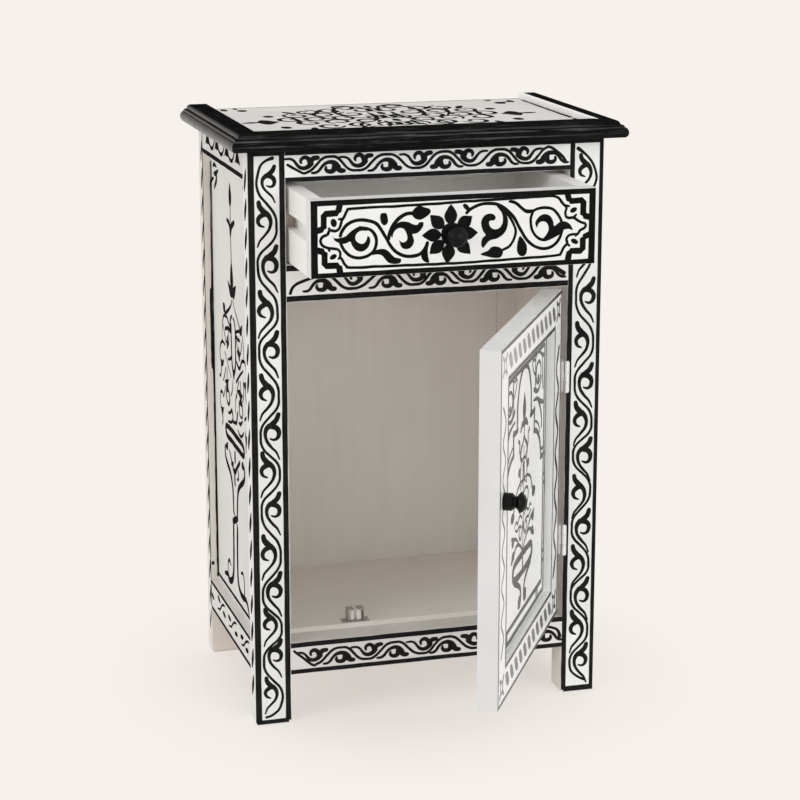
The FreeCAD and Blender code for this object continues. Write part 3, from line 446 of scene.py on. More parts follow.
CORNER_DROPS = "-132,17,3.2,4.4,15 -132.5,-18.7,4,2.6,30 131.5,18,4.2,2.7,25 133,-15.8,4.4,2.6,-25"
DRAWER_STROKE_GAIN = 1.42
DRAWER_LINES = """
-125,3,2.6 -123,8 -117,14.5 -108,18.5 -98,18.5 -88,15 -82,9 -76,-1 -71,-10 -64,-17.5 -55,-22 -46,-22.3 -38,-20
-33,-14 -31,-9;
-104,11,2.4 -94,8.5 -88,2 -86.5,-6 -89,-14 -96,-19.5 -105,-21.3 -114,-18.5 -121,-12 -124.5,-5;
-47,23,2.9 -54,22.5 -62,18 -68.5,10.5 -72,2 -73,-3;
12,20.5,2.4 18,25.5 27,28.8 36,29.5 45,28.3 53,24.5 60,18.5 66,11 72,0 79,-11 88,-18.5 99,-21.6 109,-19
116,-12 118.8,-3;
48,25,2 55,19.5 61,12.5 65.5,4 67,-2 65,-10 60,-17 52,-21;
86,19,2.2 90,21 96,22 102,21.8 108,20 113,15 117,9 118,6;
86,18,2.2 83.5,11 84,2 87,-5 92,-10 99,-12.3 106,-10.5 116,-6"""
DRAWER_LEAVES = """
-133.5,4 -132.5,1.5 -129,.5 -124,1 -119,2.5 -115,6 -110,9.5 -104.5,12 -98,11 -93,8.5 -96,7 -103,7.5 -107.5,4.5
-108.8,0 -106.5,-4.5 -102,-6.8 -98.5,-5 -96.5,-1 -96,1.2 -95,1.2 -93.5,-1 -93.2,-5 -95,-10 -99,-13.7
-103,-14.8 -108,-13 -112,-8 -114,-3 -117,-4.2 -121,-5.3 -126,-4.5 -131,-1.5;
-91,-15 -84,-13.2 -77,-13.5 -72,-17 -67,-22.5 -62,-23.8 -59.8,-25 -59.8,-27.5 -62,-29.3 -68,-29.5 -73,-28
-77,-24 -80,-20.5 -85,-18.5 -92,-18.5;
-81.5,24 -79,25 -75.5,24.5 -73.8,20 -73.5,15.5 -75.5,12.5 -78.5,12.2 -81,15 -82.2,20;
-48,24 -44,29 -39,30.5 -33,28.5 -28.5,27 -27.3,23.5 -29.5,20.5 -35,17 -40,15.8 -45,18 -48,22;
-70.5,2 -68,9 -63,13.5 -57.5,14.5 -51,13.5 -45,11 -41,11 -40,13 -35.5,13 -35.5,9 -38,5 -42,2 -47,1 -46,-2
-45.3,-6 -47,-11 -50.5,-14 -55,-14.5 -59,-12 -60.5,-7.5 -61.3,-4.5 -58.5,-6.8 -55,-6.8 -52.5,-4 -53,1 -55.5,6
-59,8 -63.5,7.5 -67.5,3.5 -69,-2;
-30.5,-8.5 -29.3,-10 -30.5,-17 -29.8,-24 -28.5,-30 -32.5,-29.5 -36,-26.5 -37.5,-22 -35,-18.5 -33,-13;
8,29 10,30.5 13,29 15.5,26 16.5,24.5 13,19.5 12,20 12.5,22.5 9,26;
45,27 52,22 57,15 58.5,9 57,2 53,-4 46,-8.5 40,-9.5 36,-11.5 32.5,-16 30.5,-17.8 28.5,-14 29.5,-8 33.5,-4
31,-.5 29,5 28.5,11 31.5,16.5 37,18.8 42,18 44.5,14.5 43,11.5 40,11.5 37.5,10.5 38,6 41,2.5 45,1.5 49,3 52,7.5
52.5,13 51,19 47,24;
28,-24.5 36,-21 39,-17.5 43,-16.5 49,-18 52,-21 52.5,-24 50,-28.5 44,-29 36,-27.5;
72,-7 70,-11 68.8,-17 69,-24 72,-28 76,-28.5 79,-25.5 80,-20 78,-14;
58,30 60,31.8 64,31.5 69,29 74,24.5 78,21.5 84,21 90,21 88,18.5 84,17 80,16.5 76,18 71,22.5 66,27 61,28.8;
90.5,1 88.5,6 91,11 95,14.5 100,15.3 105,13 108.5,8 110,2 112,3 116,6 120,6.8 125,5.5 129,2 131,-3.5 127,-2
121,-2.5 116,-5.5 109,-9.5 103,-11.8 97,-11.5 99,-9.5 102,-6 104,-1.5 103.5,3 101,6.5 97,7.7 93.5,6.5
91.5,3.5"""
drawer.upright(-41, 41, ((-152.9, 7.4), (152.9, 7.4)))
drawer.level(-DRAWER_EDGE, DRAWER_EDGE, ((37.9, 5.8), (-38.1, 5.4)))
drawer.paint(DRAWER_BORDER)
drawer.ovals(CORNER_DROPS)
drawer.paint(DRAWER_LINES, gain=DRAWER_STROKE_GAIN)
drawer.leaves(DRAWER_LEAVES)

FLOWER = Vector((-5.4, -1.2))
# Bearing and reach of each petal
PETALS = "180,31.5 137,31 90,32 38,30 0,30.5 -45,31 -97,31.5 -139,30.5"
for turn, reach in pts(PETALS):
    ahead = Vector(bearing(turn))
    aside = Vector((-ahead.y, ahead.x))
    petal = [(10.5, 0.8), (13, 4.4), (18, 6.9), (22.5, 6.3), (reach - 3, 2.6), (reach, 0), (reach, 0)]
    petal += [(along, -half) for along, half in petal[-3::-1]]
    drawer.fill([FLOWER + ahead * along + aside * half for along, half in petal])
drawer.oval(-3.6, -1.4, 12.6, 12.9)


# Left and right sides; across runs towards the front

SIDE_FACES = (
    ("frame", 200.0, (-132.7, 133.0, 0.5, 647.8)), ("panel", 191.0, (-110.8, 100.8, 94, 612.3)),
)
SIDE_LEAVES = """
-8,592 -3,584 -1,577 -3,569 -7,566 -11,566 -14,572 -14.5,579 -12,586;
-13,542 -4,542 -6,532 -8,525 -10,532;
-5,503 -1,494 1,485 0,475 -13,475 -14,484 -12,494 -8,502;
-28,477.5 -18,475 -8,474 3,475.5 8,477.5 16,479 12,471 7,464 2,461 -3,462.5 -9,461 -16,462 -21,468;
-56,445 -49,447 -44,443 -46,437 -53,436;
28,429.5 33,431 36,437 44,439.5 42,430 36,426.5;
-11,379 -6,377.5 0,380 3,378 -1,370 -5,366 -8,370;
-50,403 -42,404 -36,411 -32,412.5 -32,406 -27,404 -30,400 -36,395.5 -39,397 -38,401;
15,404 22,407 26,412.5 28,407 36,405 31,402 29,395.5 25,395.5 22,400;
-74,369 -68,368 -60,371.5 -55.5,380 -62,376.5 -70,376.5;
46,377 50,370.5 58,369.5 60,379 53,376.5;
-54,354 -44,358.5 -36,359.5 -28,362.5 -34,357 -35,350 -29,345 -38,344 -47,345 -45,352;
14,357 22,361 29,362.5 34,360.5 42,358 36,353 41,346 33,344 21,346 27,352;
-79,317.5 -70,319 -62,320 -66,312 -70,308 -74,312;
52,322 55,316 61,316 60,308 56,305 52,312;
-55,275 -50,281 -43,283 -43,275 -48,272;
30,273 33,280 40,279 42,273 36,270.5"""
SIDE_STROKES = """
-7.5,568,2 -7.5,549;
-8,536,6 -10,542,5.4 -16,546,4.4 -26,547.5,3.2;
-8,538,6 -3,544,5.4 4,547.5,4.8 11,550.5,3.6;
-7.5,528,2 -6.5,502;
-7,459,1.5 -13,451.5,2.2 -25,444,2.8 -46,435.5,3.4;
-2,459,1.3 8,450,1.5 20,442,1.8 33,433,2.2;
-60,424,1.5 -53,431.5,2.2 -44,433,2.6 -36,433,2.4 -29,429.5,2.2 -22,426,2.4;
-46,417,3 -38,420,3.2 -28,421.5,3.6 -19,421,4 -15,425,3.5;
-16,421,4 -18,428,3.8 -16,436,3.4 -10,439.5,2.6;
-3,438.5,2 3,436.5,2.6 7,429,3 9,422,2.6;
9,424,2.6 18,428 30,430.5,2.8;
10,419,2.6 16,421,3 20,418.5 26,420,2.8 32,419,1.8;
-14,428,3.8 -13.5,402,3.4 -12,386,3.8 -8,377,4 -3,372,3;
8,426,3.6 8,402,3.4 6.5,386,3.8 2,378,4 -3,372,3;
-58,420,1.4 -50,411,1.8 -45,405,1.4;
-30,419,1.4 -27,409,2 -33,401,1.4;
13,419,1.4 17,409,2 21,403,1.4;
41,420,1.4 37,409,1.8 31,402,1.4;
-62,352,1.4 -53,362,2 -46,372,1.4;
45,374,1.4 47,361,2 41,351,1.4;
9,348,1.4 15,360,2 23,371,1.4;
-21,344,1.4 -13,352,2 -9,364,1.4;
-60,334,1.2 -54,342,1.6 -48,350,1.2;
2,330,1.2 4,344,1.8 8,352,1.2;
-33,384.5,2 -25,386,2.6 -14,390.5,3.4;
12,391,2.2 18,388,3 24,386.5,3.6 30,388,3.2 35,393.5,2.6 40,398.5,2.8 47,400,3 54,400.5,2.6 60,396,2.2
62,387,1.9 60,377,1.8;
10,367,3 20,374,2.6 30,380,2.4 45,388,1.8;
-48,398,1.8 -60,399.5,2.6 -68,397.5,2.8 -75,392,2.4 -77.5,383,2 -74,374;
-72,370,2 -72,362 -76,355.5,2.4 -81,354,2.2;
57,370,2 58,362,1.9 60,355,2.2;
-63,398,1.3 -64,410 -61,420 -55,429;
44,429,1.3 49,418 50,404;
-50,389,1.4 -36,379 -18,367;
-40,372,1.7 -40,360;
31,372,1.7 30,360;
-45,346,3.2 -46,338,2.4 -40,331 -32,331,3 -28,338 -31,345,2.6;
24,346,3.2 22,338,2.6 26,332,2.2 34,331,2 40,337,2.2 38,346,2.8;
-79,334,2.2 -74,337,2.6 -66,337,2.2 -62,333,1.5;
-78,333,1.4 -81,325 -76,317,1.8;
50,333,2.6 56,336,2.4 64,340,1.8 71,344,1.4;
-70,312,3 -68,304,2.6 -72,297,1.4;
57,308,2.6 54,300,2 55,296,1.2;
-36,320.5,2.2 -27,322,2.6 -17,327,3.4 -12,320,2.8 -16,315,2.6 -26,311 -38,309.5,2;
-12,315.5,2.8 0,317,3 7,319,3.4 12,331,3.6;
20,322,2.2 28,322,3 38,328,2;
14,312,1.8 22,308.5,2.4 32,309,2.6 44,316,2;
-57,275,3 -59,268,3.4 -55,261,4.4 -46,256,4.8 -33,250 -24,241 -18.5,228,4.4 -17,206,4;
43,275,3.4 45,268,3.6 42,261,4.6 34,255,5 20,247 10,239,4.8 4.5,225,4.4 2,205,4;
-36,275,1.8 -30,272,2.4 -20,262.5,3.6 -9,255 3,263,4 20,275,3.6;
-24,262,3.4 -16,264,4.4;
-5,280,4.4 -5,270;
11,262,2 12,253,3 5,251,2;
-8,258,4.4 -8,242,4;
-21,193.5,5 -12,197,5.6 3,203.5,4.6;
-15,206,2.4 2,193,2.2;
-19,190,5 -20.5,155 -22.5,134 -28,122,5.2 -37,115.5,5.6 -47,113.5,5.4 -56,117.5,4.6 -72,114.5,3;
-53,118,2 -55,127 -52,135,2.8 -45,138.5,3 -38,134,1.8;
1.5,191,5 -1,155 -.5,134 4,122 14,116.5,5.2 28,115,5.4 40,117,4.6 49,114,4 56,106,2.6;
31,117,2.2 35,127,2.4 33,139 26,144.5,3 17,141.5,1.8"""
SIDE_CORNER = """
-97,598.5,2.4 -90,601.5,3.4 -79,600,2;
-92,591,2.6 -83,591.5,4.6 -70,597,2.2;
-78,591,3 -80,584,5 -87,578,3.6 -92,573,1.6;
-110,574,3 -106,581,4 -95,585,1.6"""
SIDE_CENTRE = -5.0
SIDE_STROKE_GAIN = 1.5
SIDE_BOWL_RIM = "-52,296.5,7 -47,302 -20,302.5 10,301.5 37,299.5 44,293.5 39,288 10,289 -20,290 -46,291"
# Dark lines down the panel's back edge and on the back post's reveal, in the recess corner: black paint with
# the corner's shade painted in along them.
SIDE_EDGE_INK_AND_SHADE = """
-109.4,100,2.6 -109.4,340 -109,374,3 -109,450 -108.2,500 -107.4,560,4 -107.4,602,3.6"""
REVEAL_INK_AND_SHADE = """
-191.7,98,2.6 -191.7,300,2.2 -191.9,352,2.4 -192.9,364,3.8 -192.9,446 -192,456,2.4 -191.7,520,1.6
-191.4,602,.9"""
REVEAL_PLANE = 111.0
RAIL_ENDS = -111, 101
SIDE_RAIL_BANDS = (615.4, 5.2), (645, 5.0), (59, 4.2), (91.4, 4.2)
POST_DASHES = """
109,-11,3.4 110.5,-4,8.4 113.5,4 115,11,3.4;
-122,-12,1.8 -120.5,-3,5 -117.5,4 -116,12,1.8"""
DASH_COUNT, DASH_START, DASH_STEP = 19, 41, 31.8
TOP_RAIL_MIDDLE = 630
TOP_RAIL_LEAVES = -83, -32, 20, 74
TOP_RAIL_LEAF = "-16,-5.4 -11,-4.6 -7,2 -3,7 5,7.4 10,2.4 15,-4.6 7,-3.2 0,-4 -7,-3"
TOP_RAIL_LINE = "11,-2.4,2.6 20,-5.4,4.6 29,-4.8,4.6 36,0.6,3.2 41,6.4,2.2"
LOW_RAIL_LINES = -76, -12, 54
LOW_RAIL_LINE = "0,69,2 12,71.5,3 22,79,3.2 34,84,3 40,84.5,2"
LOW_RAIL_DROPS = "-104,74.5,-10 -68,83,-12 -39,73,-8 -9,79,-4 26,71.5,6 57,78.5,12 83,71.5,8"
for word, sign in SIDES:
    outer, panel = (
        Ink(f"ink_side_{kind}_{word}", "case", (sign * plane, 0, 0), FORWARD, UP, (sign, 0, 0), limits)
        for kind, plane, limits in SIDE_FACES
    )
    panel.leaves(SIDE_LEAVES)
    panel.paint(SIDE_STROKES, gain=SIDE_STROKE_GAIN)
    panel.paint(SIDE_CORNER, shift(), shift(2 * SIDE_CENTRE, side=-1), gain=SIDE_STROKE_GAIN)
    panel.paint(SIDE_BOWL_RIM, closed=True)
    panel.level(*RAIL_ENDS, [(101, 4.0)])
    panel.paint(SIDE_EDGE_INK_AND_SHADE)
    reveal = Ink(
        f"ink_and_shade_side_reveal_{word}", "case", (0, REVEAL_PLANE, 0), (-sign, 0, 0), UP, FORWARD,
        (-199.7, -191.05, 95, 612),
    )
    reveal.paint(REVEAL_INK_AND_SHADE)
    reveal.oval(-197.6, 114.5, 1.8, 2.6)
    outer.upright(0, POST_TOP, [(129.3, 8.8)])
    outer.upright(60, POST_TOP, [(-112.8, 3.4)])
    outer.level(*RAIL_ENDS, SIDE_RAIL_BANDS)
    for step in range(DASH_COUNT):
        outer.paint(POST_DASHES, shift(0, DASH_START + DASH_STEP * step))
    for middle in TOP_RAIL_LEAVES:
        outer.leaves(TOP_RAIL_LEAF, shift(middle, TOP_RAIL_MIDDLE))
        if middle != TOP_RAIL_LEAVES[-1]:
            outer.paint(TOP_RAIL_LINE, shift(middle, TOP_RAIL_MIDDLE))
    for start in LOW_RAIL_LINES:
        outer.paint(LOW_RAIL_LINE, shift(start))
    for x, z, tilt in pts(LOW_RAIL_DROPS):
        outer.oval(x, z, 8.0, 3.0, tilt)


# Top panel: an oval medallion of curls, a finial at either end and a spray in each corner.
# What is mirrored is given from the middle.

TOP_STROKES = """
9,84,3 14,100,5 26,106,6 38,98,5 46,80 50,58 49,36 45,18 38,6,4 30,4,3;
14,46,3 13,18,6 17,-4 26,-26,3;
84,66,2.4 80,40,4 74,16 66,-4,2.6;
110,30,3 107,2,6 112,-30,4;
15,-30,3 15,-50,6 21,-70,4;
38,-30,3 47,-46,5 50,-64,3.6"""
TOP_LEAVES = "50,-80,4.4,13,4 107,-74,4.2,13,14 102,66,4.2,13,-24 132,42,6,8,0 134,-54,6,9,0"
TOP_SPOTS = "-174,112,4,9 -155,101,6,8 -159,120,3,6 148,117,4,5 155,91,7,9 172,103,4,10 163,97,6,3"
TOP_RINGS = (70, 13), (8, 13), (-55, 12)
TOP_DROPS = (98, 9), (39, 10), (-24, 10), (-86, 11)
TOP_FINIAL = "130,0 136,8 140,15 147,19 152,11 154,4 164,5 173,0 164,-5 154,-4 152,-11 147,-19 140,-15 136,-8"
TOP_LINES = "188.4,-112,2.2 188.2,-70,4.2; 188.4,-58,4.4 188.4,10,3.6 188.8,110,2.6"
TOP_PLANE = 660.0
TOP_MIDDLE, FINIAL_Y, MEDALLION_Y = -6.0, -5, 8
MEDALLION_WIDE, MEDALLION_HIGH = 126, 98
CURL_ROWS, CURL_COLUMNS = range(-3, 4), range(4)
CURL_STEP_X, CURL_STEP_Y = 33.0, 31.0
CURL_REACH, CURL_TURN = 13.0, 0.8
STRAY_SCALE_X, STRAY_SCALE_Y, STRAY_LAYER = 0.083, 0.091, 4.7
CURL_WIDTHS = 2.4, 4.0, 5.2, 5.6, 5.2, 4.6, 4.2, 4.4, 5.0
top = Ink("ink_top", "case", (0, 0, TOP_PLANE), ACROSS, (0, 1, 0), UP)
top.ovals(TOP_SPOTS)
for y, high in TOP_RINGS:
    top.ring(TOP_MIDDLE, y, 8, high, 4.4)
for y, high in TOP_DROPS:
    top.oval(TOP_MIDDLE, y, 4.6, high)
for side in (1, -1):
    top.leaves(TOP_FINIAL, shift(TOP_MIDDLE, FINIAL_Y, side))
    top.paint(TOP_STROKES, shift(TOP_MIDDLE, side=side))
    for x, y, wide, high, tilt in pts(TOP_LEAVES):
        top.oval(TOP_MIDDLE + side * x, y, wide, high, side * tilt)
    for row in CURL_ROWS:
        for column in CURL_COLUMNS:
            x = CURL_STEP_X * (column + (1.0 if row % 2 else 0.5))
            y = MEDALLION_Y + CURL_STEP_Y * row
            if math.hypot(x / MEDALLION_WIDE, (y - MEDALLION_Y) / MEDALLION_HIGH) > 1:
                continue
            stray = noise.noise_vector(Vector((x * STRAY_SCALE_X, y * STRAY_SCALE_Y, STRAY_LAYER)))
            turn, hand = 7 * stray.z, -1 if (row + column) % 2 else 1
            curl = []
            for step in range(len(CURL_WIDTHS)):
                angle, radius = turn + hand * CURL_TURN * step, CURL_REACH * (1.2 - 0.09 * step)
                across = x + 5 * stray.x + radius * math.cos(angle)
                curl.append((TOP_MIDDLE + side * across, y + 6 * stray.y + 1.2 * radius * math.sin(angle)))
            top.brush(curl, CURL_WIDTHS)
top.paint(TOP_LINES)
top.level(-190, 190, [(126.6, 1.6)])


# Door, on its own plane turned about the hinge pin

hinge = next(joint for joint in frame["record"]["behaviour"]["joints"] if joint["name"] == "door_hinge")
cos, sin = bearing(-hinge["range_deg"][0])
along_door, into_door = Vector((cos, sin, 0)), Vector((-sin, cos, 0))
pin = Vector((hinge["pos_m"][0], hinge["pos_m"][1], 0)) * PER_METRE
DOOR_FACE, DOOR_PANEL_FACE = 6.5, 15.0
FREE_EDGE, HINGE_EDGE = -318.65, -1.35
STILE = 39.0
FREE_MIDDLE, HINGE_MIDDLE = FREE_EDGE + STILE / 2, HINGE_EDGE - STILE / 2
DOOR_LOW, DOOR_HIGH = 99.8, 479.5
DOOR_CENTRE = (FREE_EDGE + HINGE_EDGE) / 2
DOOR_MARGIN, DOOR_LINE = 0.3, 3.8
DOOR_LIMITS = (
    FREE_EDGE + DOOR_MARGIN, HINGE_EDGE - DOOR_MARGIN, DOOR_LOW + DOOR_MARGIN, DOOR_HIGH - DOOR_MARGIN,
)
door_frame, door_panel, door_dashes = (
    Ink(name, "door", pin + into_door * face, along_door, UP, -into_door, limits)
    for name, face, limits in (
        ("ink_door_frame", DOOR_FACE, DOOR_LIMITS), ("ink_door_panel", DOOR_PANEL_FACE, None),
        ("thin_ink_and_glare_door", DOOR_FACE, DOOR_LIMITS),
    )
)
left_in, right_in = FREE_EDGE + STILE, HINGE_EDGE - STILE
low_in, high_in = DOOR_LOW + STILE, DOOR_HIGH - STILE
door_frame.upright(*DOOR_LIMITS[2:], ((FREE_EDGE + 2.2, DOOR_LINE), (HINGE_EDGE - 2.2, DOOR_LINE)))
door_frame.upright(low_in, high_in, ((left_in - 2.4, 4.0), (right_in + 2.4, 4.0)))
door_frame.level(*DOOR_LIMITS[:2], ((DOOR_LOW + 2.2, DOOR_LINE), (DOOR_HIGH - 2.2, DOOR_LINE)))
door_frame.level(left_in - 4, right_in + 4, ((low_in - 2.6, 4.4), (high_in + 2.6, 4.4)))
DOOR_RAILS = 460.2, 119.6
DOOR_DASH = "-10,7 -10,7 -2.4,9 5,3 10,-7 10,-7 2.4,-9 -5,-3"
DOOR_DASH_COUNT, DOOR_DASH_START, DOOR_DASH_STEP = 11, 45, 22.6
for step in range(DOOR_DASH_COUNT):
    x = HINGE_EDGE - DOOR_DASH_START - DOOR_DASH_STEP * step
    door_dashes.leaves(DOOR_DASH, *(shift(x, z) for z in DOOR_RAILS))
for ink, x in ((door_dashes, FREE_MIDDLE), (door_frame, HINGE_MIDDLE)):
    for z in DOOR_RAILS:
        ink.ring(x, z, 5.5, 6.5, 3.2)
        for turn in (45, 135, 225, 315):
            cos, sin = bearing(turn)
            ink.oval(x + 11 * cos, z + 12 * sin, 4.2, 2.4, turn)
WAVE_LOW, WAVE_LENGTH = 152, 266
for x, reach, half_turn, width in ((FREE_MIDDLE, 6.0, 19.0, 3.0), (HINGE_MIDDLE, 6.5, 24.0, 7.0)):
    count = int(WAVE_LENGTH / half_turn) + 1
    wave = [(x + (reach if turn % 2 else -reach), WAVE_LOW + half_turn * turn) for turn in range(count)]
    door_frame.brush(wave, [width] * count)

# Door panel, from its middle

for x0, x1, z0, z1, width in ((-276.2, -43.8, 142.4, 436.6, 5.6), (-267, -53, 155.6, 428.6, 5.8)):
    door_panel.level(x0, x1, ((z0, width), (z1, width)))
    door_panel.upright(z0, z1, ((x0, width), (x1, width)))
for z in (279, 269, 189, 178):
    for x in (-272.5, -47.5):
        door_panel.level(x - 5, x + 5, [(z, 4.2)])
door_panel.upright(141, 155, [(x, 4.2) for x in (-83, -76, -237, -244)])
DOOR_ARCH = """
0,428,6.2 12,425.5 22,418 30,406 35,391 36,369;
33,366,6.2 55.5,366;
54,368,6.2 54,343;
53,344,6.2 66,340 78,333 87,322 92,307 93.5,303;
91,303,6.2 110,303"""
DOOR_STROKE_GAIN = 1.3
DOOR_STROKES = """
2,364,4 9,366,6 18,360.5,3.4;
0,366,3 0,350;
0,352,2.6 6,345,3.4 14,340,4 17,332,4.4 9,326,3.4 2,328,2;
17,334,2.6 22,340,3 22,348 28,352,3.8;
4,322,2.4 4,304 10,299,2;
13,326,2 17,312,2.6 16,296,2.2;
0,302,2 14,304,2.6 27,301,2.8 38,295 46,284,3 52,277,4.4;
2,288,2 12,291,2.4 22,288,2.6 26,280 20,272 12,274,2.4 14,281,1.6;
6,262,2 16,267,2.6 28,262 36,266,2.4 44,262,1.6;
0,258,2.2 6,246,2.8 14,240,3 20,248,2.6 14,256,1.8;
0,222,2.4 8,230,2.6 20,236,3 34,238 44,234,3.6 57,227,5;
22,238,2.2 34,246,2.8 46,250,3.6 58,253,3;
8,252,2 20,256,2.4 30,254 40,258,2;
42,199,5 22,191 11,184 8,175,4.6 11,166,5 18,166,6.4;
52,422,2.6 44,424,3.4 40,420,2.6 48,410,2.4 57,404,2.2;
56,424,2.6 66,427,2.8 78,425.5 90,421,3.2 100,417,4;
57,424,3.4 58,410,3.8 57,398,3.4 60,388,3;
50,390,4 60,386,4.6 72,384,4 84,388,3 90,396,2.2;
93,418,2.6 97,404,2.8 97,390,3.6 100,380,3;
48,378,2 60,377,3.2 74,374,3.8 88,368,4.2 101,364,4;
72,374,2.4 86,362,3.8 93,350,4.4 94,338,4;
58,353,2 70,349,2.6 80,342 86,334,2;
90,314,2.2 100,311,3 110,312,2.4"""
DOOR_DROPS = "22,316,6,5 14,171,8,6 55,275,9,6 50,232,7,5 52,248,6,6"
DOOR_BUD = "0,400 0,400 4.6,392 7.6,382 6,373 2,367 -2,367 -6,373 -7.6,382 -4.6,392"
DOOR_STEM = "0,340,2.4 0,322 -1,300 1,270 0,222"
DOOR_BOWL = """
-50,211,8.4 -44,218.5 -20,220.5 0,220.5 20,220.5 44,218.5 50,211 44,203 20,200.5 0,200.5 -20,200.5 -44,203"""
halves = [shift(DOOR_CENTRE, side=side) for side in (1, -1)]
door_panel.paint(DOOR_ARCH, *halves)
door_panel.paint(DOOR_STROKES, *halves, gain=DOOR_STROKE_GAIN)
for x, z, wide, high in pts(DOOR_DROPS):
    for side in (1, -1):
        door_panel.oval(DOOR_CENTRE + side * x, z, wide, high)
door_panel.leaves(DOOR_BUD, halves[0])
door_panel.paint(DOOR_STEM, halves[0])
door_panel.paint(DOOR_BOWL, halves[0], closed=True)
door_panel.paint("0,219,4.6 0,202", halves[0])
for side in (1, -1):
    door_panel.ring(DOOR_CENTRE + side * 74, 404, 13, 12, 4.0)
    door_panel.oval(DOOR_CENTRE + side * 73, 398, 5, 3.6)


# White inner edges of the side mouldings

EDGE_STRIP, EDGE_FOOT, EDGE_TOP = 5.0, 660.3, 666.5
PANEL_X, PANEL_FRONT, PANEL_BACK = 191.0, -121.0, 128.0
white_edges = []
for word, sign in SIDES:
    wall = Ink(f"white_edge_{word}", "case", (sign * PANEL_X, 0, 0), FORWARD, UP, (-sign, 0, 0))
    wall.block(-PANEL_BACK, -PANEL_FRONT, EDGE_FOOT, EDGE_TOP)
    white_edges.append(wall)
rim = Ink("white_rim_right", "case", (0, 0, EDGE_TOP), ACROSS, (0, 1, 0), UP)
rim.add([
    (PANEL_X, PANEL_BACK), (PANEL_X, PANEL_FRONT),
    (PANEL_X + EDGE_STRIP, PANEL_FRONT - EDGE_STRIP), (PANEL_X + EDGE_STRIP, PANEL_BACK),
])
white_edges.append(rim)


# Materials

def rgb(channels):
    return (*channels, 1.0)


class Nodes:
    """A node tree under construction."""

    def __init__(self, tree):
        self.tree = tree

    def put(self, socket, value):
        if isinstance(value, bpy.types.NodeSocket):
            self.tree.links.new(value, socket)
        else:
            socket.default_value = value

    def node(self, kind, out, inputs, **settings):
        """An output of a new node, whose inputs are given by name or number."""
        made = self.tree.nodes.new(f"ShaderNode{kind}")
        for name, value in settings.items():
            setattr(made, name, value)
        for key, value in inputs.items():
            self.put(made.inputs[key], value)
        return made.outputs[out]

    def spread(self, value, low, high, to_low=0.0, to_high=1.0):
        inputs = dict(enumerate((value, low, high, to_low, to_high)))
        return self.node("MapRange", "Result", inputs, clamp=True)

    def blend(self, share, first, second):
        return self.node("Mix", 2, {"Factor": share, 6: first, 7: second}, data_type="RGBA")

    def both(self, operation, first, second):
        return self.node("Math", 0, {0: first, 1: second}, operation=operation)

    def plus(self, first, second):
        return self.both("ADD", first, second)

    def times(self, first, second):
        return self.both("MULTIPLY", first, second)

    def weighed(self, first, share, second, other):
        return self.plus(self.times(first, share), self.times(second, other))

    def show(self, lit, seen, output, share=1.0):
        """Camera, glossy and transmission rays meet seen, by share, and all else meets lit."""
        path = self.tree.nodes.new("ShaderNodeLightPath").outputs
        rays = path["Is Camera Ray"]
        for name in ("Is Glossy Ray", "Is Transmission Ray"):
            rays = self.both("MAXIMUM", rays, path[name])
        mix = self.node("MixShader", 0, {"Fac": self.times(rays, share), 1: lit, 2: seen})
        self.put(self.tree.nodes[output].inputs["Surface"], mix)


class Shade(Nodes):
    """A material under construction, with object coordinates in metres."""

    def __init__(self, name, **sockets):
        self.material = bpy.data.materials.new(name)
        self.material.use_nodes = True
        super().__init__(self.material.node_tree)
        self.shader = self.tree.nodes["Principled BSDF"]
        for socket, value in sockets.items():
            self.shader.inputs[socket.replace("_", " ")].default_value = value
        coordinates = self.tree.nodes.new("ShaderNodeTexCoord").outputs
        self.place, self.normal = coordinates["Object"], coordinates["Normal"]

    def grain(self, scale, detail=4.0, roughness=0.6, where=None):
        """Noise between about 0 and 1; scale is per metre."""
        return self.node("TexNoise", "Fac", {
            "Vector": where or self.place, "Scale": scale, "Detail": detail, "Roughness": roughness,
        })

    def lines(self, axis, along, across, detail, roughness):
        """Noise drawn out along one axis."""
        scale = [along if letter == axis else across for letter in "xyz"]
        where = self.node("Mapping", "Vector", {"Vector": self.place, "Scale": scale})
        return self.grain(1.0, detail, roughness, where)

    def part(self, axis, vector):
        return self.node("SeparateXYZ", axis, {"Vector": vector})

    def done(self, colour, rough=None, height=None, strength=0.0, depth=0.0):
        """The material, with its colour and, where they vary, its roughness and bump."""
        if height is not None:
            height = self.node("Bump", "Normal", {"Height": height, "Strength": strength, "Distance": depth})
        for name, value in (("Base Color", colour), ("Roughness", rough), ("Normal", height)):
            if value is not None:
                self.put(self.shader.inputs[name], value)
        return self.material


BLACK, BLACK_THIN = (0.0035, 0.0034, 0.0034), (0.0105, 0.0102, 0.0100)
# The lighter grey for rubbed rims and brush streaks, in part a painted highlight; the colour of bare chips.
WORN_AND_HIGHLIGHT_GREY, CHIPPED = rgb((0.095, 0.094, 0.094)), rgb((0.30, 0.27, 0.23))
BRUSHED = 22, 420
CLOUDY = 0.3, 0.7


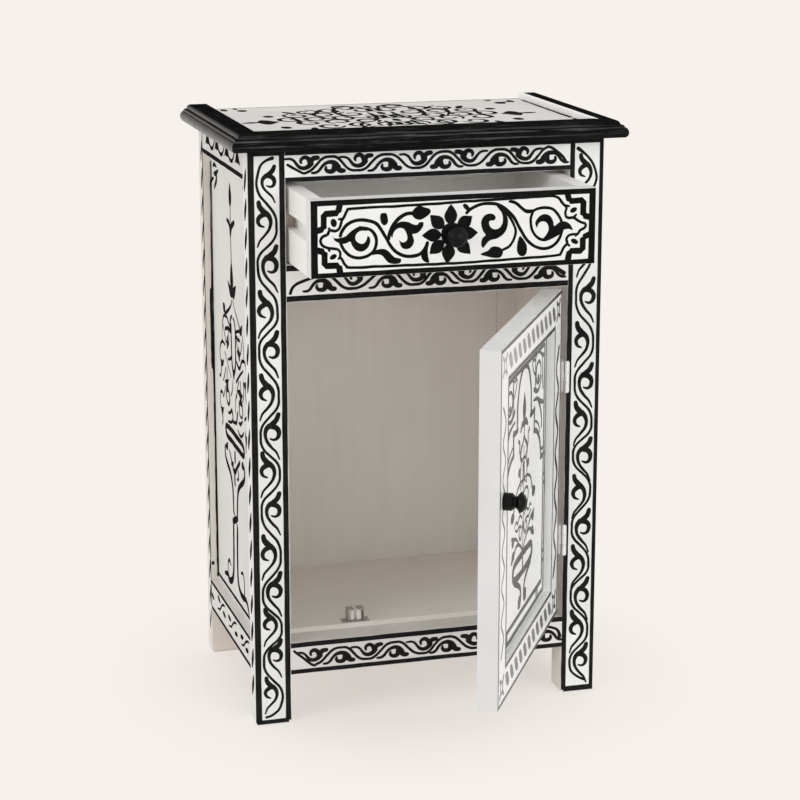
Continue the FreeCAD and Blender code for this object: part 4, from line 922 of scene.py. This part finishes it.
def white_paint(name, axis, tones, rough=(0.42, 0.6), turned=None):
    """Hand-brushed off-white paint: brush lines along the member, faint mottling, fine specks.

    tones are a pale and a darker one. turned, a direction and a factor for the colour, sets apart
    the faces that look that way; on some parts the factor is paint colour, on others painted light
    and shade."""
    made = Shade(name, Specular_IOR_Level=0.5)
    lines = made.lines(axis, *BRUSHED, 3.0, 0.55)
    clouds = made.grain(11.0)
    specks = made.spread(made.grain(520.0, 2.0, 0.5), 0.70, 0.78)
    base = made.blend(made.spread(made.weighed(lines, 0.45, clouds, 0.75), 0.42, 0.82), *map(rgb, tones))
    if turned:
        direction, tint = turned
        looks = made.node("VectorMath", "Value", {0: made.normal, 1: direction}, operation="DOT_PRODUCT")
        other = [rgb(channel * share for channel, share in zip(tone, tint)) for tone in tones]
        other = made.blend(made.spread(clouds, 0.35, 0.65), *other)
        base = made.blend(made.spread(looks, 0.6, 0.8), base, other)
    worn = rgb(channel * 0.72 for channel in tones[1])
    return made.done(
        made.blend(made.times(specks, 0.35), base, worn), made.spread(clouds, *CLOUDY, *rough),
        made.plus(lines, made.times(clouds, 0.4)), 0.35, 0.00025,
    )


def black_paint(
    name, rough, gloss, axis="x", shallow=0.05, fade=(0.60, 0.76), streaks=0.0, chips=0.0, depth=1.0,
    worn_and_highlight_steps=(), painted_reflection=None,
):
    """Brushed black paint, slightly greyer where it is thin, its sheen weaker at a shallow view.

    streaks is how strongly worn brush lines show in a lighter grey, partly painted specular streaks;
    chips is how strongly bare specks do. rims are heights at which an edge is rubbed and given a painted
    highlight, and how strongly. shine, two upward leanings, lets the gloss grow from none on faces that
    look up to full on faces that lean down, a painted reflection; the underside is dull."""
    made = Shade(name, Specular_IOR_Level=gloss)
    facing = made.node("LayerWeight", "Facing", {"Blend": 0.5})
    level = made.spread(facing, *fade, gloss, gloss * shallow)
    # Gloss set by how a face leans: a painted reflection, dark on faces that look up and bright on faces that
    # lean down.
    if painted_reflection:
        upward = made.part("Z", made.normal)
        share = made.spread(upward, *painted_reflection[::-1], 1.0, 0.0)
        level = made.times(level, made.times(share, share))
        level = made.times(level, made.spread(upward, -0.98, -0.8))
    made.put(made.shader.inputs["Specular IOR Level"], level)
    lines = made.lines(axis, *BRUSHED, 3.0, 0.6)
    clouds = made.grain(60.0, 4.0, 0.65)
    tones = [rgb(channel * depth for channel in tone) for tone in (BLACK, BLACK_THIN)]
    base = made.blend(made.spread(made.weighed(lines, 0.5, clouds, 0.6), 0.45, 0.85), *tones)
    # Lighter worn brush lines, partly painted specular streaks.
    if streaks:
        worn = made.times(made.spread(lines, 0.56, 0.72), made.spread(made.grain(26.0), 0.42, 0.62))
        base = made.blend(made.times(worn, streaks), base, WORN_AND_HIGHLIGHT_GREY)
    # A lighter line at each rim: rubbed paint and a painted highlight.
    for height, strength in worn_and_highlight_steps:
        away = made.both("ABSOLUTE", made.both("SUBTRACT", made.part("Z", made.place), height), 0.0)
        edge = made.times(made.spread(away, 0.0003, 0.0011, strength, 0.0), made.spread(lines, 0.40, 0.62))
        base = made.blend(edge, base, WORN_AND_HIGHLIGHT_GREY)
    if chips:
        flakes = made.spread(made.grain(240.0, 3.0, 0.55), 0.735, 0.75)
        base = made.blend(made.times(flakes, chips), base, CHIPPED)
    return made.done(base, made.spread(clouds, *CLOUDY, *rough), made.plus(lines, clouds), 0.3, 0.0002)


def thin_paint_with_glare(name):
    """Grey, thinned paint with painted glare: paler towards the top and the door's free side."""
    made = Shade(name, Specular_IOR_Level=0.4)
    clouds = made.grain(70.0)
    high = made.spread(made.part("Z", made.place), 0.14, 0.44)
    free = made.spread(made.part("X", made.place), 0.0, 0.14, 1.0, 0.0)
    pale = made.times(free, made.spread(high, 0.0, 1.0, 0.4, 1.0))
    tone = made.blend(pale, rgb((0.035, 0.035, 0.034)), rgb((0.36, 0.358, 0.35)))
    tone = made.blend(made.spread(clouds, 0.35, 0.75, 0.0, 0.25), tone, rgb((0.45, 0.45, 0.44)))
    return made.done(tone, made.spread(clouds, *CLOUDY, 0.24, 0.36))


def wood(name, axis, tones):
    """Plain sawn wood with straight grain along one axis."""
    made = Shade(name, Roughness=0.62, Specular_IOR_Level=0.3)
    lines = made.lines(axis, 7, 160, 5.0, 0.65)
    grain = made.weighed(lines, 0.75, made.lines(axis, 35, 800, 2.0, 0.5), 0.3)
    colour = made.blend(made.spread(grain, 0.32, 0.74), *map(rgb, tones))
    return made.done(colour, None, grain, 0.4, 0.0003)


def inside_wash(name, axis, tones):
    """Thin matt wash over wood, with the grain just showing through."""
    made = Shade(name, Specular_IOR_Level=0.25)
    lines = made.lines(axis, 5, 90, 4.0, 0.6)
    clouds = made.grain(7.0)
    colour = made.blend(made.spread(made.weighed(lines, 0.5, clouds, 0.6), 0.40, 0.76), *map(rgb, tones))
    return made.done(colour, made.spread(clouds, *CLOUDY, 0.62, 0.8), lines, 0.3, 0.0003)


def metal(name, tones):
    made = Shade(name, Metallic=1.0)
    lines = made.lines("z", 60, 900, 2.0, 0.5)
    clouds = made.grain(140.0, 3.0)
    rough = made.spread(made.plus(lines, clouds), 0.7, 1.3, 0.24, 0.44)
    return made.done(made.blend(clouds, *map(rgb, tones)), rough, lines, 0.15, 0.00005)


def plastic(name, tones):
    made = Shade(name)
    clouds = made.grain(300.0, 3.0)
    rough = made.spread(clouds, *CLOUDY, 0.32, 0.46)
    return made.done(made.blend(clouds, *map(rgb, tones)), rough, clouds, 0.1, 0.0001)


# A pale and a darker tone for each part's white, and the factors for faces turned another way. Several are
# one white paint, made lighter as painted light or darker as painted shade, as noted.

FRONT_WHITE = (0.83, 0.84, 0.832), (0.761, 0.762, 0.745)
RIGHT_WHITE = (0.852, 0.872, 0.875), (0.782, 0.79, 0.782)
# The top front rail's white is lighter: painted light against the moulding's shadow.
TOP_RAIL_PAINTED_LIGHT = (0.92, 0.932, 0.928), (0.855, 0.86, 0.85)
# The bottom front rail's white is darker: painted shade, a little warmer in tone.
LOW_RAIL_PAINTED_SHADE = (0.745, 0.737, 0.727), (0.682, 0.672, 0.659)
# The sides' white is darker than the front's: painted shade on faces that get less light.
SIDE_PAINTED_SHADE = (0.732, 0.725, 0.708), (0.671, 0.662, 0.645)
# The door's white is lighter: painted light on the turned door.
DOOR_PAINTED_LIGHT = (0.915, 0.932, 0.93), (0.872, 0.882, 0.878)
BACK_WHITE = (0.80, 0.77, 0.735), (0.74, 0.705, 0.665)
# The top panel's white is darker: painted shade on the face that looks up.
TOP_PAINTED_SHADE = (0.71, 0.699, 0.68), (0.652, 0.637, 0.618)
# The drawer's white, also used on the mouldings' inner edges, is the lightest: painted light.
DRAWER_PAINTED_LIGHT = (0.985, 0.97, 0.945), (0.93, 0.913, 0.885)
WASH = (0.90, 0.86, 0.815), (0.835, 0.795, 0.745)
# The third factor darkens the door's free edge: painted shade.
BEIGE, ROSY, FREE_SIDE_SHADE = (0.90, 0.86, 0.82), (1.05, 1.02, 1.0), (0.755, 0.752, 0.745)
# Both factors lighten faces that look up: painted light on the door's rails; on the side rails' ledges, a
# lift out of the sides' painted shade, and beige.
DOOR_UPWARD_LIGHT, LEDGE_BEIGE_AND_LIGHT = (1.06, 1.05, 1.04), (1.16, 1.10, 1.07)
# The second factor lightens the side panels' inner faces: painted light inside the case, and a lift out of
# the sides' painted shade.
WARM, INNER_FACE_LIGHT = (1.0, 0.975, 0.945), (1.29, 1.26, 1.24)
DOOR_ROUGH = 0.2, 0.32
# Heights and strengths of the front moulding's lighter rims: rubbed paint and a painted highlight.
WORN_AND_HIGHLIGHT_STEPS = ((0.6622, 0.7), (0.6592, 1.0), (0.6535, 0.75))
INK_ROUGH, INK_GLOSS = (0.6, 0.75), 0.03

white_painted_light = white_paint("white_painted_light", "y", DRAWER_PAINTED_LIGHT)
white_door = white_paint("white_door_z", "z", DOOR_PAINTED_LIGHT, DOOR_ROUGH)
white_side = white_paint("white_side_y", "y", SIDE_PAINTED_SHADE)
white_back = white_paint("white_back", "z", BACK_WHITE, turned=(FORWARD, ROSY))
white_ledge = white_paint("white_ledge", "y", SIDE_PAINTED_SHADE, turned=(UP, LEDGE_BEIGE_AND_LIGHT))
black_knob = black_paint("black_knob", (0.26, 0.38), 0.12, "z")
# The catch's steel is darker than the hinges': painted shade.
catch_steel_shaded = metal("catch_steel_painted_shade", ((0.50, 0.48, 0.46), (0.36, 0.34, 0.32)))
SLOT_FINISH = {
    "painted_wood": white_paint("white_paint_x", "x", FRONT_WHITE),
    "inside_wood": inside_wash("inside_wash_x", "x", WASH),
    "bare_wood": wood("runner_wood", "y", ((0.74, 0.64, 0.56), (0.60, 0.50, 0.43))),
    "black_wood": black_paint(
        "black_side_moulding", (0.2, 0.32), 0.7, "y", fade=(0.98, 0.99), streaks=0.4, chips=0.2, depth=1.5,
        painted_reflection=(0.97, -0.5),
    ),
    "steel": metal("bright_steel", ((0.96, 0.975, 0.985), (0.82, 0.83, 0.835))),
    "roller_plastic": plastic("roller_white", ((0.90, 0.88, 0.86), (0.82, 0.80, 0.77))),
}
own_finish = {
    "post_front_left": white_paint("white_post_left", "z", FRONT_WHITE, turned=(ACROSS, BEIGE)),
    "post_front_right": white_paint("white_post_right", "z", RIGHT_WHITE, turned=((-1, 0, 0), BEIGE)),
    "rail_front_top": white_paint("white_rail_high", "x", TOP_RAIL_PAINTED_LIGHT),
    "rail_front_bottom": white_paint("white_rail_low", "x", LOW_RAIL_PAINTED_SHADE, turned=(UP, WARM)),
    "top_panel": white_paint("white_top", "x", TOP_PAINTED_SHADE),
    "top_moulding_front": black_paint(
        "black_moulding", (0.34, 0.48), 0.05, streaks=0.8, chips=0.3, depth=1.6, worn_and_highlight_steps=WORN_AND_HIGHLIGHT_STEPS,
        painted_reflection=(0.8, -0.6),
    ),
    "back_panel": inside_wash("inside_wash_z", "z", WASH),
    # The door's free edge is darker: painted shade.
    "door_stile_free": white_paint("white_stile_free", "z", DOOR_PAINTED_LIGHT, DOOR_ROUGH, (-along_door, FREE_SIDE_SHADE)),
    "door_stile_hinge": white_door,
    "door_panel": white_door,
    "drawer_back": white_painted_light,
}
for word in ("top", "bottom"):
    own_finish[f"door_rail_{word}"] = white_paint(
        f"white_door_{word}", "x", DOOR_PAINTED_LIGHT, DOOR_ROUGH, (UP, DOOR_UPWARD_LIGHT),
    )
for word, sign in SIDES:
    own_finish[f"side_panel_{word}"] = white_paint(
        f"white_panel_{word}", "z", SIDE_PAINTED_SHADE, turned=((-sign, 0, 0), INNER_FACE_LIGHT),
    )
    own_finish[f"post_back_{word}"] = white_back
    own_finish[f"rail_side_top_{word}"] = white_side
    own_finish[f"rail_side_bottom_{word}"] = white_ledge
    own_finish[f"drawer_side_{word}"] = white_painted_light
own_finish |= dict.fromkeys(("door_knob", "drawer_knob"), black_knob)
own_finish |= dict.fromkeys(("catch_bracket", "catch_roller_pins", "catch_screws"), catch_steel_shaded)
slot_of = {part["node"]: part["material_slot"] for part in frame["record"]["subparts"]}
for node, piece in frame["nodes"].items():
    finish = own_finish.get(node, SLOT_FINISH[slot_of[node]])
    if not piece.data.materials:
        piece.data.materials.append(finish)
    for number in range(len(piece.data.materials)):
        piece.data.materials[number] = finish

ink_satin = black_paint("ink_satin", INK_ROUGH, INK_GLOSS, "z", depth=2.7)
ink_gloss = black_paint("ink_gloss", (0.2, 0.3), 0.5, "z", shallow=1.0)
own_paint = {
    drawer: black_paint("ink_deep", INK_ROUGH, INK_GLOSS, "z", depth=1.4),
    door_frame: ink_gloss,
    door_panel: ink_gloss,
    # The door's dashes: grey paint with a painted glare.
    door_dashes: thin_paint_with_glare("ink_thin_glare"),
}
for edge in white_edges:
    edge.build(white_painted_light, "painted_wood")
for ink in Ink.made:
    if ink not in white_edges:
        ink.build(own_paint.get(ink, ink_satin), "black_wood")


# Floor, light and camera

CREAM = rgb((0.930, 0.880, 0.839))
FLOOR_HALF = 40.0
SHADOW_NEAR, SHADOW_FAR = 0.50, 0.005
SHADOW_REACH = 0.18, 0.38
SKY_COLOUR, SKY_LEVEL = rgb((1.0, 0.995, 0.985)), 0.76
# Direction, strength and breadth in degrees
LAMPS = {
    "key": ((0.38, -0.85, 0.27), 0.80, 38),
    "fill": ((-1.0, -0.45, 0.42), 0.60, 26),
}
CAMERA_PLACE = (-0.7368, -2.5351, 0.9980)
CAMERA_DOWN, CAMERA_RIGHT = 14.192, 16.311
LENS, SENSOR, FAR_CLIP = 105.3, 36.0, 200.0

floor_mesh = bpy.data.meshes.new("floor")
corners = ((-1, -1), (1, -1), (1, 1), (-1, 1))
floor_mesh.from_pydata([(x * FLOOR_HALF, y * FLOOR_HALF, 0) for x, y in corners], [], [(0, 1, 2, 3)])
floor = linked("floor", floor_mesh)
ground = Shade("floor_cream", Base_Color=rgb((1.0, 0.947, 0.903)), Roughness=0.9, Specular_IOR_Level=0.0)
reach = ground.node("VectorMath", "Value", {"Vector": ground.place}, operation="LENGTH")
ground.show(
    ground.shader.outputs[0], ground.node("Emission", 0, {"Color": CREAM}), "Material Output",
    ground.spread(reach, *SHADOW_REACH, 1 - SHADOW_NEAR, 1 - SHADOW_FAR),
)
floor_mesh.materials.append(ground.material)

world = bpy.data.worlds.new("studio")
bpy.context.scene.world = world
world.use_nodes = True
sky = Nodes(world.node_tree)
dome = sky.tree.nodes["Background"]
dome.inputs["Color"].default_value = SKY_COLOUR
dome.inputs["Strength"].default_value = SKY_LEVEL
sky.show(dome.outputs[0], sky.node("Background", 0, {"Color": CREAM}), "World Output")

for name, (source, strength, breadth) in LAMPS.items():
    sun = bpy.data.lights.new(name, "SUN")
    sun.energy = strength
    sun.angle = math.radians(breadth)
    linked(name, sun).rotation_euler = Vector(source).to_track_quat("Z", "Y").to_euler()

camera_data = bpy.data.cameras.new("photo_view")
camera_data.lens = LENS
camera_data.sensor_width = SENSOR
camera_data.clip_end = FAR_CLIP
camera = linked("photo_view", camera_data)
camera.location = CAMERA_PLACE
camera.rotation_euler = (math.radians(90 - CAMERA_DOWN), 0, math.radians(-CAMERA_RIGHT))
bpy.context.scene.camera = camera
bpy.context.scene.view_settings.view_transform = "Standard"
